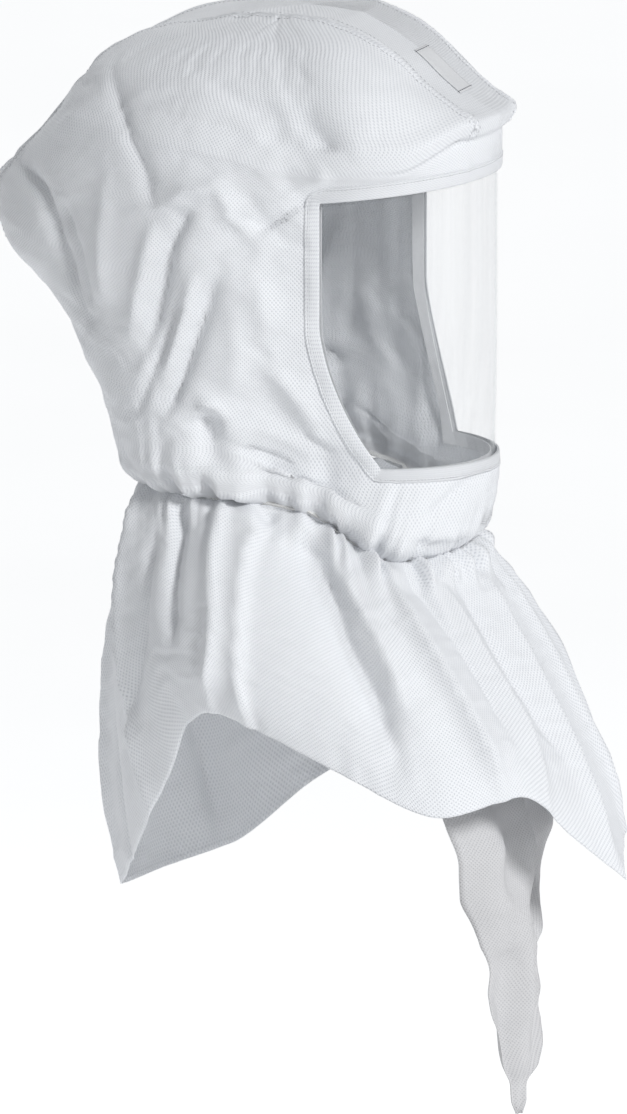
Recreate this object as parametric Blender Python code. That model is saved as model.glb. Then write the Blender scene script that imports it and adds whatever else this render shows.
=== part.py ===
"""Loose-fitting hood of a powered air respirator.

Metres, +Z up. The hood faces -Y and the wearer's right is -X. The origin is the
middle of the wearer's head at brow height, just below the headband's front edge.
Fabric is a thin closed shell. Everything rigid hangs on the headband: two crown
straps and a saddle carry the air duct, and the duct and a brow frame hold the hood.
"""
import math

import bmesh
import bpy
from mathutils import Matrix, Vector

# Gaps and sheet thicknesses
GAP = 0.00035
FABRIC = 0.0012
LENS = 0.0008
TAPE = 0.0006
SHANK_CLEARANCE = 0.0007

# Visor lens: an elliptical sheet, upright above the chin and drawn in below it
LENS_HALF_WIDTH = 0.0885
LENS_REACH = 0.0767
LENS_CENTRE_Y = -0.083
LENS_TAPER_TOP = -0.069
LENS_TAPER_HEIGHT = 0.093
LENS_DRAW_IN = 0.0181
LENS_MARGIN = 0.008
LENS_CLEARANCE = 0.0010
BINDING_CLEARANCE = 0.0016

# Window opening in the fabric
WINDOW_TOP_FRONT = 0.018
WINDOW_TOP_SIDE = 0.010
WINDOW_BOTTOM = -0.162
WINDOW_BOTTOM_ANGLE = 67.0

# Hood
STRIP_HALF_WIDTH = 0.030
BRIM_BOTTOM = 0.0495
NECK_DROP = 0.0008
SHOULDER_SEAM = 12

# Air duct, as outer and inner lines in the middle plane (y, z), from the brow to the inlet
DUCT_HALF_WIDTH = 0.0290
DUCT_WALL = 0.0016
DUCT_OUTER = [
    (-0.162, 0.0545), (-0.134, 0.0745), (-0.113, 0.092), (-0.084, 0.1075), (-0.056, 0.1122), (0.010, 0.1080),
    (0.048, 0.0985), (0.083, 0.0815), (0.1005, 0.0635), (0.1175, 0.0425), (0.138, 0.015), (0.1535, -0.0035),
    (0.154, -0.017), (0.1505, -0.0324),
]
DUCT_INNER = [
    (-0.1475, 0.0420), (-0.122, 0.0605), (-0.100, 0.077), (-0.076, 0.0915), (-0.054, 0.0930), (0.016, 0.0915),
    (0.042, 0.0815), (0.070, 0.067), (0.085, 0.0515), (0.101, 0.033), (0.118, 0.008), (0.125, -0.008),
    (0.1245, -0.022), (0.108, -0.0731),
]

# Hose inlet, round, in the duct's rear end
INLET_BORE = 0.0155
INLET_OUTER = 0.0175
INLET_HOLE = 0.0184
INLET_RING = 0.023

# Headband: half axes of its inner face, height, thickness, and its lower edge's height in front and dip behind
BAND_HALF_WIDTH = 0.079
BAND_FRONT = 0.103
BAND_REAR = 0.088
BAND_HEIGHT = 0.024
BAND_THICK = 0.0016
BAND_LIFT = 0.005
BAND_DIP = 0.045
BAND_END_ANGLE = 118.0
CROWN_TOP = 0.0872
STRAP_THICK = 0.0014
STRAP_CLEARANCE = 0.0013

# Ratchet, centred on the rear of the band
RATCHET_Z = -0.028
RATCHET_BASE_Y = 0.0805
PINION_RADIUS = 0.005
KNOB_RADIUS = 0.016
SHAFT_RADIUS = 0.0035

# Where things join the band, as angles from the front, with the crown straps' places at the top
CROWN_STRAPS = (("front", 62.0, -0.030), ("rear", 104.0, 0.008))
CROWN_STRAP_HALF_WIDTH = 0.006
TEMPLE_ANGLE = 77.0
STRAP_RIVET_ANGLE = 112.0

# Rear straps, above the band's lower edge, and their toothed slots
REAR_STRAP_LOW = 0.0035
REAR_STRAP_HIGH = 0.0205
RACK_HALF_LENGTH = 0.020
PINION_TEETH = 10

# Screws and rivets
SHANK_RADIUS = 0.0014
SCREW_HOLE = 0.0017
SADDLE_SCREWS = (-0.017, -0.005)
SADDLE_TOP = 0.0906

# Airflow slides
SLIDE_TRAVEL = 0.012
SLIDE_Z = 0.1030
SLIDE_START_Y = -0.058

# Brow frame: heights, thickness and how far it lies inside the lens
FRAME_LOW = 0.029
FRAME_HIGH = 0.037
FRAME_THICK = 0.0022
FRAME_INSET = 0.0012
BOW_CLEARANCE = 0.0016
BRACKET_THICK = 0.0018
BOSS_GAP = 0.0007
TEMPLE_Y = -0.026

MATERIALS = {
    "fabric": ((0.86, 0.87, 0.88), 0.85, 0.0),
    "fabric_inner": ((0.80, 0.80, 0.80), 0.9, 0.0),
    "clear": ((0.92, 0.94, 0.95), 0.08, 0.0),
    "tape": ((0.78, 0.79, 0.80), 0.8, 0.0),
    "label": ((0.88, 0.88, 0.87), 0.6, 0.0),
    "elastic": ((0.82, 0.82, 0.80), 0.9, 0.0),
    "duct": ((0.62, 0.64, 0.66), 0.5, 0.0),
    "harness": ((0.12, 0.13, 0.14), 0.5, 0.0),
    "accent": ((0.25, 0.33, 0.42), 0.45, 0.0),
    "foam": ((0.30, 0.31, 0.33), 0.95, 0.0),
    "rubber": ((0.05, 0.05, 0.05), 0.8, 0.0),
    "steel": ((0.60, 0.60, 0.62), 0.3, 1.0),
}


# ---------------------------------------------------------------- building blocks


def material(slot):
    """The Principled material of a slot, made once."""
    found = bpy.data.materials.get(slot)
    if found:
        return found
    colour, roughness, metallic = MATERIALS[slot]
    made = bpy.data.materials.new(slot)
    made.use_nodes = True
    shader = made.node_tree.nodes["Principled BSDF"]
    shader.inputs["Base Color"].default_value = (*colour, 1.0)
    shader.inputs["Roughness"].default_value = roughness
    shader.inputs["Metallic"].default_value = metallic
    return made


def add(name, verts, faces, slot, outward_from=None):
    """A named object from points and faces, with its faces turned outwards."""
    bm = bmesh.new()
    points = [bm.verts.new(v) for v in verts]
    for face in faces:
        bm.faces.new([points[i] for i in face])
    bmesh.ops.remove_doubles(bm, verts=bm.verts, dist=1e-6)
    bmesh.ops.recalc_face_normals(bm, faces=bm.faces)
    if outward_from is not None:
        lean = sum((f.calc_center_median() - outward_from).dot(f.normal) * f.calc_area() for f in bm.faces)
        if lean < 0:
            bmesh.ops.reverse_faces(bm, faces=bm.faces)
    mesh = bpy.data.meshes.new(name)
    bm.to_mesh(mesh)
    bm.free()
    obj = bpy.data.objects.new(name, mesh)
    bpy.context.scene.collection.objects.link(obj)
    mesh.materials.append(material(slot))
    mesh.shade_smooth()
    mesh.set_sharp_from_angle(angle=math.radians(30))
    return obj


def sweep(name, sections, slot, closed=False):
    """A solid through sections of equal point count, capped at its ends unless it closes on itself."""
    n = len(sections[0])
    verts = [p for section in sections for p in section]
    faces = []
    for k in range(len(sections) if closed else len(sections) - 1):
        a = k * n
        b = (k + 1) % len(sections) * n
        faces += [(a + i, a + (i + 1) % n, b + (i + 1) % n, b + i) for i in range(n)]
    if not closed:
        faces.append(tuple(range(n)))
        faces.append(tuple(range(len(verts) - n, len(verts))))
    return add(name, verts, faces, slot)


def sheet(name, grid, thickness, slot, outward_from, wrap=False, cap=None):
    """A thin closed solid whose outer face is a grid of points, thickened inwards."""
    rows, cols = len(grid), len(grid[0])
    verts = [p for row in grid for p in row]
    faces = []
    for r in range(rows - 1):
        for c in range(cols if wrap else cols - 1):
            d = (c + 1) % cols
            faces.append((r * cols + c, r * cols + d, (r + 1) * cols + d, (r + 1) * cols + c))
    if cap is not None:
        top = (rows - 1) * cols
        faces += [(top + c, top + (c + 1) % cols, len(verts)) for c in range(cols)]
        verts.append(cap)
    obj = add(name, verts, faces, slot, outward_from)
    thicken(obj, thickness)
    return obj


def thicken(obj, thickness):
    """Gives a skin its thickness, inwards from the face it was drawn on."""
    solid = obj.modifiers.new("thickness", "SOLIDIFY")
    solid.thickness = thickness
    solid.offset = -1.0
    solid.use_even_offset = True


def box(name, low, high, slot, bevel=0.0):
    """A block between two corners, with its edges softened when a bevel is given."""
    x0, y0, z0 = low
    x1, y1, z1 = high
    sections = [[(x, y0, z0), (x, y1, z0), (x, y1, z1), (x, y0, z1)] for x in (x0, x1)]
    obj = sweep(name, sections, slot)
    if bevel:
        soft = obj.modifiers.new("edges", "BEVEL")
        soft.width = bevel
        soft.segments = 2
    return obj


def circle(radius, height, place, segments):
    """Points of a circle about the local Z axis of a place."""
    turns = [math.tau * i / segments for i in range(segments)]
    return [place @ Vector((radius * math.cos(t), radius * math.sin(t), height)) for t in turns]


def turned(name, profile, place, slot, segments=20, ring=False):
    """A turned solid from (radius, height) points along its outside; a ring closes on itself."""
    sections = [circle(radius, height, place, segments) for radius, height in profile]
    return sweep(name, sections, slot, closed=ring)


def facing(origin, axis):
    """A placement whose local Z axis points along axis, with local X kept level."""
    z = Vector(axis).normalized()
    side = Vector((1, 0, 0)) if abs(z.x) < 0.9 else Vector((0, 1, 0))
    y = z.cross(side).normalized()
    x = y.cross(z)
    turn = Matrix((x, y, z)).transposed().to_4x4()
    return Matrix.Translation(Vector(origin)) @ turn


def prism(name, outline, half_width, slot="steel"):
    """A (y, z) outline extruded along X."""
    sections = [[(side * half_width, y, z) for y, z in outline] for side in (-1, 1)]
    return sweep(name, sections, slot)


def combine(obj, cutter, operation="DIFFERENCE"):
    """Cuts or keeps by another object, which stays only as a guide."""
    cutter.display_type = "WIRE"
    cutter.hide_render = True
    mod = obj.modifiers.new(cutter.name, "BOOLEAN")
    mod.operation = operation
    mod.solver = "EXACT"
    mod.object = cutter


def drill(obj, origin, axis, radius, length, segments=8):
    """A hole centred on origin along an axis, whose flats clear a pin of the radius."""
    corner = radius / math.cos(math.pi / segments)
    profile = [(corner, -length / 2), (corner, length / 2)]
    combine(obj, turned(f"{obj.name}_hole", profile, facing(origin, axis), "steel", segments))


def fastener(name, centre, axis, grip, head=0.0032):
    """A screw or rivet: a domed head outside, a shank through the grip and a flat tail."""
    low = -grip / 2 - SHANK_CLEARANCE
    high = grip / 2 + SHANK_CLEARANCE
    tail = head * 0.80
    profile = [
        (tail, low - 0.0008), (tail, low), (SHANK_RADIUS, low), (SHANK_RADIUS, high),
        (head, high), (head * 0.70, high + 0.0011),
    ]
    turned(name, profile, facing(centre, axis), "steel", 8)


def mix(a, b, t):
    return a + (b - a) * t


def smooth(t):
    t = min(max(t, 0.0), 1.0)
    return t * t * (3 - 2 * t)


# ---------------------------------------------------------------- visor lens and window


def lens_axes(z):
    """Half width and reach of the lens ellipse at a height."""
    t = max(0.0, (LENS_TAPER_TOP - z) / LENS_TAPER_HEIGHT)
    return LENS_HALF_WIDTH - LENS_DRAW_IN * t * t, LENS_REACH + 0.0013 * t * t


def lens_point(angle, z, outward=0.0):
    """A point on the lens at an angle from the front, in degrees; past the ellipse it runs straight back."""
    a, b = lens_axes(z)
    turn = math.radians(max(-90.0, min(90.0, angle)))
    past = max(0.0, abs(angle) - 90.0) * math.radians(1) * a
    return Vector((-(a + outward) * math.sin(turn), LENS_CENTRE_Y - (b + outward) * math.cos(turn) + past, z))


def window_half_angle(z, margin=0.0):
    """How far round the window reaches at a height, in degrees, drawn in below the cheeks."""
    t = (LENS_TAPER_TOP - z) / (LENS_TAPER_TOP - WINDOW_BOTTOM)
    t = min(max(t, 0.0), 1.0)
    return mix(90.0, WINDOW_BOTTOM_ANGLE, t ** 1.5) + math.degrees(margin / LENS_HALF_WIDTH)


def window_top(share):
    """Height of the window's top edge, where share is 0 at the front and 1 at a corner."""
    return mix(WINDOW_TOP_FRONT, WINDOW_TOP_SIDE, share * share)


def window_grid(margin, outward, columns, rows):
    """Points over the window, grown by a margin and offset from the lens face."""
    grid = []
    for r in range(rows + 1):
        row = []
        for c in range(columns + 1):
            share = 2 * c / columns - 1
            top = window_top(share) + margin
            z = mix(WINDOW_BOTTOM - margin, top, r / rows)
            row.append(lens_point(share * window_half_angle(z, margin), z, outward))
        grid.append(row)
    return grid


def window_edge(margin, outward):
    """The window's outline as one closed loop, grown by a margin."""
    columns, rows = 16, 8
    grid = window_grid(margin, outward, columns, rows)
    bottom = grid[0][:-1]
    right = [row[-1] for row in grid[:-1]]
    top = list(reversed(grid[-1][1:]))
    left = [row[0] for row in reversed(grid[1:])]
    return bottom + right + top + left


def make_lens():
    centre = Vector((0, LENS_CENTRE_Y, -0.07))
    sheet("visor_lens", window_grid(LENS_MARGIN, 0.0, 20, 5), LENS, "clear", centre)


def make_window_binding():
    """A tape sewn round the inside of the lens edge."""
    outer = -(LENS + BINDING_CLEARANCE)
    inner = outer - TAPE
    loops = [
        window_edge(LENS_MARGIN - 0.0005, outer), window_edge(0.0, outer),
        window_edge(0.0, inner), window_edge(LENS_MARGIN - 0.0005, inner),
    ]
    sweep("window_binding", loops, "tape", closed=True)


def window_cutter():
    """The solid that opens the window in the fabric."""
    outer = window_grid(0.0, 0.02, 16, 7)
    inner = window_grid(0.0, -0.02, 16, 7)
    rows, cols = len(outer), len(outer[0])
    verts = [p for row in outer for p in row] + [p for row in inner for p in row]
    shift = rows * cols
    faces = []
    for r in range(rows - 1):
        for c in range(cols - 1):
            quad = (r * cols + c, r * cols + c + 1, (r + 1) * cols + c + 1, (r + 1) * cols + c)
            faces += [quad, tuple(i + shift for i in quad)]
    last = (rows - 1) * cols
    up_side = [r * cols + cols - 1 for r in range(1, rows)]
    down_side = [r * cols for r in range(rows - 2, 0, -1)]
    rim = list(range(cols)) + up_side + [last + c for c in range(cols - 2, -1, -1)] + down_side
    for i, a in enumerate(rim):
        b = rim[(i + 1) % len(rim)]
        faces.append((a, b, b + shift, a + shift))
    return add("window_cutter", verts, faces, "steel")


# ---------------------------------------------------------------- hood

# Levels of the hood, bottom to top, in millimetres: front z, side z, back z, front y, corner half width,
# corner y, widest y, half width there, back y, squareness of the front, fullness of the rear quarters.
LEVELS = [
    (-222, -184, -179, -142, 76, -83, -10, 91, 52, 2, 1.0),
    (-208, -172, -168, -155, 79, -83, -5, 100, 66, 2, 1.0),
    (-186, -158, -156, -162, 77, -83, 0, 105, 73, 2, 1.0),
    (-170, -146, -142, None, None, -83, 0, 107, 78, 2, 1.0),
    (-144, -130, -117, None, None, -83, 0, 109, 88, 2, 1.0),
    (-115, -107, -79, None, None, -83, 0, 110, 106, 2, 1.15),
    (-90, -85, -56.5, None, None, -83, 0, 110, 129.5, 2, 1.3),
    (-62, -59, -34, None, None, -83, 0, 110, 153, 2, 1.4),
    (-38, -36, -20, None, None, -83, 0, 110, 158, 2, 1.4),
    (-10, -9, -4, None, None, -83, 0, 109, 157, 2, 1.4),
    (20, 20, 16, None, None, -83, 0, 107, 141, 2, 1.25),
    (32, 32, 28, None, None, -83, 0, 106, 132, 2, 1.18),
    (43, 43, 40, None, None, -83, 0, 105, 123, 2, 1.1),
    (48, 49, 51, -168.0, 90, -83, 0, 103, 114, 3, 1.0),
    (57, 59, 64, -168.5, 88, -83, 0, 98, 104, 3, 1.0),
    (63, 65, 70, -156, 86, -83, 0, 95, 98, 3, 1.0),
    (78, 79, 82, -134, 80, -75, -5, 87, 87, 3, 1.0),
    (94, 94, 94, -115, 70, -66, -10, 75, 67, 3, 1.0),
    (106, 106, 105, -96, 60, -60, -20, 62, 41, 3, 1.0),
    (114.5, 113.5, 111.5, -77, 46, -50, -30, 48, 12, 2.5, 1.0),
]
FRONT_STEPS = 8
SIDE_STEPS = 3
REAR_STEPS = 6
HALF_STEPS = 20

# A level runs from its front height to its side height between two steps, the first of which moves forward
# below the window, and on to its back height between two more
SIDE_RISE_START, SIDE_RISE_END = 8.0, 10.5
CHIN_RISE_START = 4.0
CHIN_Z, WINDOW_FOOT_Z = -0.200, -0.170
BACK_RISE_START, BACK_RISE_END = 10, 17
CROWN_CAP = Vector((0, -0.040, 0.1175))


def level_half(level):
    """One side of a level, wearer's right, from the front middle to the back middle."""
    zf, zs, zb, yf, a, yk, yc, hw, yb, square, full = [None if v is None else v / 1000 for v in level]
    square *= 1000
    full *= 1000
    if yf is None:
        half, reach = lens_axes(zf)
        a = half + FABRIC + LENS_CLEARANCE
        yf = yk - reach - FABRIC - LENS_CLEARANCE
    flat = STRIP_HALF_WIDTH + 0.004
    side = []
    for i in range(FRONT_STEPS + 1):
        turn = math.pi / 2 * i / FRONT_STEPS
        side.append((a * math.sin(turn) ** (2 / square), yk + (yf - yk) * math.cos(turn) ** (2 / square)))
    side[FRONT_STEPS] = (a, yk)
    for i in range(1, SIDE_STEPS + 1):
        turn = math.pi / 2 * i / SIDE_STEPS
        side.append((a + (hw - a) * math.sin(turn), yk + (yc - yk) * (1 - math.cos(turn))))
    narrow = min(flat, hw * 0.8)
    for i in range(1, REAR_STEPS + 1):
        turn = math.pi / 2 * i / REAR_STEPS
        across = narrow + (hw - narrow) * max(math.cos(turn), 0.0) ** full
        side.append((across, yc + (yb - 0.0006 - yc) * math.sin(turn) ** full))
    side += [(narrow * 2 / 3, yb - 0.0002), (narrow / 3, yb), (0.0, yb)]
    points = []
    start = mix(CHIN_RISE_START, SIDE_RISE_START, smooth((zf - CHIN_Z) / (WINDOW_FOOT_Z - CHIN_Z)))
    for i, (x, y) in enumerate(side):
        z = mix(zf, zs, smooth((i - start) / (SIDE_RISE_END - start)))
        back = smooth((i - BACK_RISE_START) / (BACK_RISE_END - BACK_RISE_START))
        points.append(Vector((-x, y, mix(z, zb, back))))
    return points


def level_ring(level):
    """The whole closed level."""
    half = level_half(level)
    mirrored = [Vector((-p.x, p.y, p.z)) for p in half[1:-1]]
    return half + list(reversed(mirrored))


def hood_shell(name, slot, outward=0.0, thickness=FABRIC):
    """The hood's whole skin, from the neck to the crown, open at the neck."""
    rings = [level_ring(level) for level in LEVELS]
    centre = Vector((0, 0, -0.05))
    shell = sheet(name, rings, thickness, slot, centre, wrap=True, cap=CROWN_CAP)
    if outward:
        normals = [v.normal.copy() for v in shell.data.vertices]
        for v, n in zip(shell.data.vertices, normals):
            v.co += n * outward
    return shell


def strip_outline(grow):
    """Side view of the space that the centre strip takes, from the brim over the crown to the neck."""
    brim = BRIM_BOTTOM - grow
    return [
        (-0.19, brim), (-0.06, brim), (-0.06, -0.06), (0.03, -0.06), (0.03, -0.25), (0.20, -0.25),
        (0.20, 0.14), (-0.19, 0.14),
    ]


def inlet_place():
    """The inlet's axis, pointing out and down, from the middle of the duct's rear end."""
    outer = Vector((0, *DUCT_OUTER[-1]))
    inner = Vector((0, *DUCT_INNER[-1]))
    along = (outer - inner).normalized()
    return facing((outer + inner) / 2, (0, along.z, -along.y))


def make_hood():
    top = hood_shell("hood_top_panel", "fabric")
    combine(top, prism("strip_space", strip_outline(0.0), STRIP_HALF_WIDTH), "INTERSECT")
    hole = turned("inlet_hole", [(INLET_HOLE, -0.01), (INLET_HOLE, 0.012)], inlet_place(), "steel", 20)
    combine(top, hole)
    cutter = window_cutter()
    strip = prism("strip_clearance", strip_outline(0.0006), STRIP_HALF_WIDTH + 0.0005)
    for side, name in ((-1, "hood_side_right"), (1, "hood_side_left")):
        panel = hood_shell(name, "fabric")
        near, far = sorted((side * 0.0004, side * 0.16))
        half = box(f"{name}_half", (near, -0.25, -0.3), (far, 0.25, 0.2), "steel")
        combine(panel, half, "INTERSECT")
        combine(panel, strip)
        combine(panel, cutter)


def make_label():
    """A blank patch on the slope above the brim."""
    label = hood_shell("label_patch", "label", GAP + TAPE, TAPE)
    outline = [(-0.1530, 0.0748), (-0.1209, 0.1010), (-0.1121, 0.0901), (-0.1442, 0.0639)]
    combine(label, prism("label_space", outline, 0.013), "INTERSECT")


# ---------------------------------------------------------------- neck and shrouds

# Lower edge of the outer shroud on each side: level point number, then x, y, z in millimetres.
HEM_RIGHT = [
    (0, 2, -252, -426), (2, -36, -232, -392), (4, -70, -208, -362), (6, -110, -173, -370),
    (8, -128, -118, -346), (10, -133, -65, -322), (12, -130, -28, -311), (14, -118, -6, -322),
    (15, -105, 10, -353), (17, -62, 50, -412), (20, 3, 89, -458),
]
HEM_LEFT = [
    (0, 2, -252, -426), (2, 40, -238, -408), (4, 80, -215, -392), (6, 118, -175, -380),
    (8, 135, -118, -372), (10, 138, -60, -378), (12, 130, -20, -392), (14, 118, 8, -410),
    (16, 100, 54, -449), (18, 50, 82, -457), (20, 3, 89, -458),
]
SHROUD_ROWS = [0.0, 0.06, 0.16, 0.30, 0.48, 0.66, 0.84, 1.0]


def hem_point(station):
    """A point of the hem: station 0 in front, positive round the right side and negative round the left."""
    table = HEM_RIGHT if station >= 0 else HEM_LEFT
    at = abs(station)
    for low, high in zip(table, table[1:]):
        if at <= high[0]:
            t = (at - low[0]) / (high[0] - low[0])
            return (Vector(low[1:]) * (1 - t) + Vector(high[1:]) * t) / 1000
    return Vector(table[-1][1:]) / 1000


def neck_point(station):
    """A point of the neck seam at a station."""
    half = level_half(LEVELS[0])
    at = min(abs(station), HALF_STEPS)
    low = min(int(at), HALF_STEPS - 1)
    p = half[low].lerp(half[low + 1], at - low)
    return Vector((p.x if station >= 0 else -p.x, p.y, p.z))


def shroud_point(station, v):
    """A point of the outer shroud, v down from the neck to the hem, which swells out between them."""
    top = neck_point(station) - Vector((0, 0, NECK_DROP))
    p = top.lerp(hem_point(station), v)
    away = Vector((p.x, p.y + 0.045, 0)).normalized()
    swell = mix(0.012, 0.022, smooth(abs(station) / HALF_STEPS))
    return p + away * swell * math.sin(math.pi * v) ** 0.8 if 0 < v < 1 else p


def make_outer_shroud():
    centre = Vector((0, -0.045, -0.3))
    seam = 0.08
    front = [-SHOULDER_SEAM + i for i in range(2 * SHOULDER_SEAM + 1)]
    around = [SHOULDER_SEAM + seam] + list(range(SHOULDER_SEAM + 1, HALF_STEPS))
    back = around + [HALF_STEPS] + [-s for s in reversed(around)]
    for name, stations in (("outer_shroud_front", front), ("outer_shroud_back", back)):
        grid = [[shroud_point(s, v) for s in stations] for v in SHROUD_ROWS]
        sheet(name, grid, FABRIC, "fabric", centre)


def make_neck_elastic():
    """The elastic cord in the neck seam, just inside it."""
    stations = list(range(HALF_STEPS + 1)) + [-s for s in range(HALF_STEPS - 1, 0, -1)]
    radius = 0.0016
    sections = []
    for s in stations:
        p = neck_point(s)
        inward = -Vector((p.x, p.y + 0.045, 0)).normalized()
        centre = p + inward * 0.0048
        up = Vector((0, 0, 1))
        turns = [math.tau * k / 4 for k in range(4)]
        sections.append([centre + (inward * math.cos(t) + up * math.sin(t)) * radius for t in turns])
    sweep("neck_elastic", sections, "elastic", closed=True)


# Inner shroud, a flap in front, top to bottom: half width, middle y, z and curl of its edges, in millimetres.
FLAP = [
    (82, -129, -232, 46), (80, -142, -285, 34), (74, -157, -340, 24), (66, -169, -389, 18),
    (40, -178, -470, 10), (28, -182, -535, 5), (9, -183, -582, 0),
]


def make_inner_shroud():
    shares = [i / 5 - 1 for i in range(11)]
    grid = [[Vector((half * u, y + curl * u * u, z)) / 1000 for u in shares] for half, y, z, curl in FLAP]
    sheet("inner_shroud", grid, FABRIC, "fabric_inner", Vector((0, 0, -0.35)))


# ---------------------------------------------------------------- air duct


def duct_inward(k, depth):
    """A point a wall's depth in from the outer line at station k, towards the inner line."""
    outer, inner = Vector(DUCT_OUTER[k]), Vector(DUCT_INNER[k])
    return outer + (inner - outer).normalized() * depth


def make_duct_cover():
    """The duct's outer wall and side walls, one U-shaped shell."""
    w, t = DUCT_HALF_WIDTH, DUCT_WALL
    sections = []
    for k, (outer, inner) in enumerate(zip(DUCT_OUTER, DUCT_INNER)):
        wall = duct_inward(k, t)
        sections.append([
            (-w, *inner), (-w, *outer), (w, *outer), (w, *inner),
            (w - t, *inner), (w - t, *wall), (-w + t, *wall), (-w + t, *inner),
        ])
    cover = sweep("air_duct_cover", sections, "duct")
    y0 = SLIDE_START_Y
    for side in (-1, 1):
        low_x, high_x = sorted((side * (DUCT_HALF_WIDTH - 0.004), side * (DUCT_HALF_WIDTH + 0.003)))
        cuts = [
            ((y0 + 0.0067, SLIDE_Z - 0.0021), (y0 + 0.0067 + 0.0126 + SLIDE_TRAVEL, SLIDE_Z + 0.0021)),
            ((y0 + 0.002, SLIDE_Z + 0.0032), (y0 + 0.012, SLIDE_Z + 0.0052)),
            ((y0 + 0.002, SLIDE_Z - 0.0052), (y0 + 0.012, SLIDE_Z - 0.0032)),
        ]
        for n, (low, high) in enumerate(cuts):
            cut = box(f"duct_slot_{side}_{n}", (low_x, *low), (high_x, *high), "steel")
            combine(cover, cut)


def make_duct_base():
    """The duct's inner wall, a strip that fits between the side walls."""
    half = DUCT_HALF_WIDTH - DUCT_WALL - GAP
    sections = []
    for outer, inner in zip(DUCT_OUTER, DUCT_INNER):
        o, i = Vector(outer), Vector(inner)
        top = i + (o - i).normalized() * DUCT_WALL
        sections.append([(-half, *i), (half, *i), (half, *top), (-half, *top)])
    base = sweep("air_duct_base", sections, "duct")
    for y in SADDLE_SCREWS:
        drill(base, (0, y, 0.093), (0, 0, 1), SCREW_HOLE, 0.012)
    point, axis = bracket_screw_place()
    drill(base, point, axis, SCREW_HOLE, 0.008)


def end_place(k, towards):
    """A frame at the duct's end: origin on the inner line, Y up to the outer line, Z into the duct."""
    inner = Vector((0, *DUCT_INNER[k]))
    up = (Vector((0, *DUCT_OUTER[k])) - inner).normalized()
    x = Vector((1, 0, 0))
    z = x.cross(up) * towards
    turn = Matrix((x, up, z)).transposed().to_4x4()
    return Matrix.Translation(inner) @ turn


def plate(name, place, half_width, low, high, front, back, slot):
    """A rectangular plate in a local frame."""
    outline = [(-half_width, low), (half_width, low), (half_width, high), (-half_width, high)]
    sections = [[place @ Vector((x, y, z)) for x, y in outline] for z in (front, back)]
    return sweep(name, sections, slot)


def make_outlet_grille():
    """The louvred grille in the duct's front end, which blows down the lens."""
    place = end_place(0, 1)
    height = (Vector(DUCT_OUTER[0]) - Vector(DUCT_INNER[0])).length
    wide = DUCT_HALF_WIDTH - DUCT_WALL - GAP
    low = DUCT_WALL + GAP
    high = height - DUCT_WALL - 0.0008
    grille = plate("duct_outlet_grille", place, wide, low, high, 0.0006, 0.0026, "duct")
    cells = 6
    pitch = 2 * (wide - 0.002) / cells
    for i in range(cells):
        centre = -wide + 0.002 + pitch * (i + 0.5)
        shifted = place @ Matrix.Translation((centre, 0, 0))
        half = pitch / 2 - 0.001
        cell = plate(f"grille_cell_{i}", shifted, half, low + 0.002, high - 0.002, -0.002, 0.005, "steel")
        combine(grille, cell)


def make_inlet():
    """Socket, gasket, clamp ring and O-ring of the hose inlet."""
    place = inlet_place()
    wide = DUCT_HALF_WIDTH - DUCT_WALL - GAP
    span = (Vector(DUCT_OUTER[-1]) - Vector(DUCT_INNER[-1])).length / 2
    socket = plate("inlet_socket", place, wide, -span + 0.0036, span - 0.0088, -0.002, 0.0, "duct")
    sleeve = turned("inlet_sleeve_shape", [(INLET_OUTER, -0.0045), (INLET_OUTER, 0.0044)], place, "steel", 20)
    combine(socket, sleeve, "UNION")
    bore = turned("inlet_bore_shape", [(INLET_BORE, -0.012), (INLET_BORE, 0.010)], place, "steel", 20)
    combine(socket, bore)
    gasket = [(INLET_HOLE, GAP), (INLET_RING, GAP), (INLET_RING, 0.00135), (INLET_HOLE, 0.00135)]
    turned("inlet_gasket", gasket, place, "rubber", 20, ring=True)
    turned("inlet_clamp_ring", [
        (INLET_OUTER + GAP, 0.00325), (INLET_RING, 0.00325), (INLET_RING, 0.0040),
        (INLET_RING - 0.0006, 0.00445), (INLET_OUTER + GAP, 0.00445),
    ], place, "duct", 20, ring=True)
    turns = [math.tau * k / 5 for k in range(5)]
    rings = [(0.0142 + 0.0009 * math.cos(t), -0.003 + 0.0009 * math.sin(t)) for t in turns]
    turned("inlet_o_ring", rings, place, "rubber", 16, ring=True)


def make_airflow_slide(side, name):
    """A shutter outside the duct's side wall, with a stem through the slot and a keeper inside it."""
    y0 = SLIDE_START_Y
    wall = DUCT_HALF_WIDTH
    z = SLIDE_Z
    layers = [
        (wall - DUCT_WALL - GAP - 0.0014, y0 + 0.005, y0 + 0.021, z - 0.004, z + 0.004),
        (wall - DUCT_WALL - GAP, y0 + 0.005, y0 + 0.021, z - 0.004, z + 0.004),
        (wall - DUCT_WALL - GAP, y0 + 0.007, y0 + 0.019, z - 0.0018, z + 0.0018),
        (wall + GAP, y0 + 0.007, y0 + 0.019, z - 0.0018, z + 0.0018),
        (wall + GAP, y0, y0 + 0.026, z - 0.006, z + 0.006),
        (wall + GAP + 0.0015, y0, y0 + 0.026, z - 0.006, z + 0.006),
        (wall + GAP + 0.0015, y0 + 0.010, y0 + 0.016, z - 0.0045, z + 0.0045),
        (wall + GAP + 0.0045, y0 + 0.011, y0 + 0.015, z - 0.004, z + 0.004),
    ]
    sections = []
    for x, near, far, low, high in layers:
        corners = (near, low), (far, low), (far, high), (near, high)
        sections.append([(side * x, y, z) for y, z in corners])
    sweep(name, sections, "accent")


# ---------------------------------------------------------------- head harness


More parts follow.
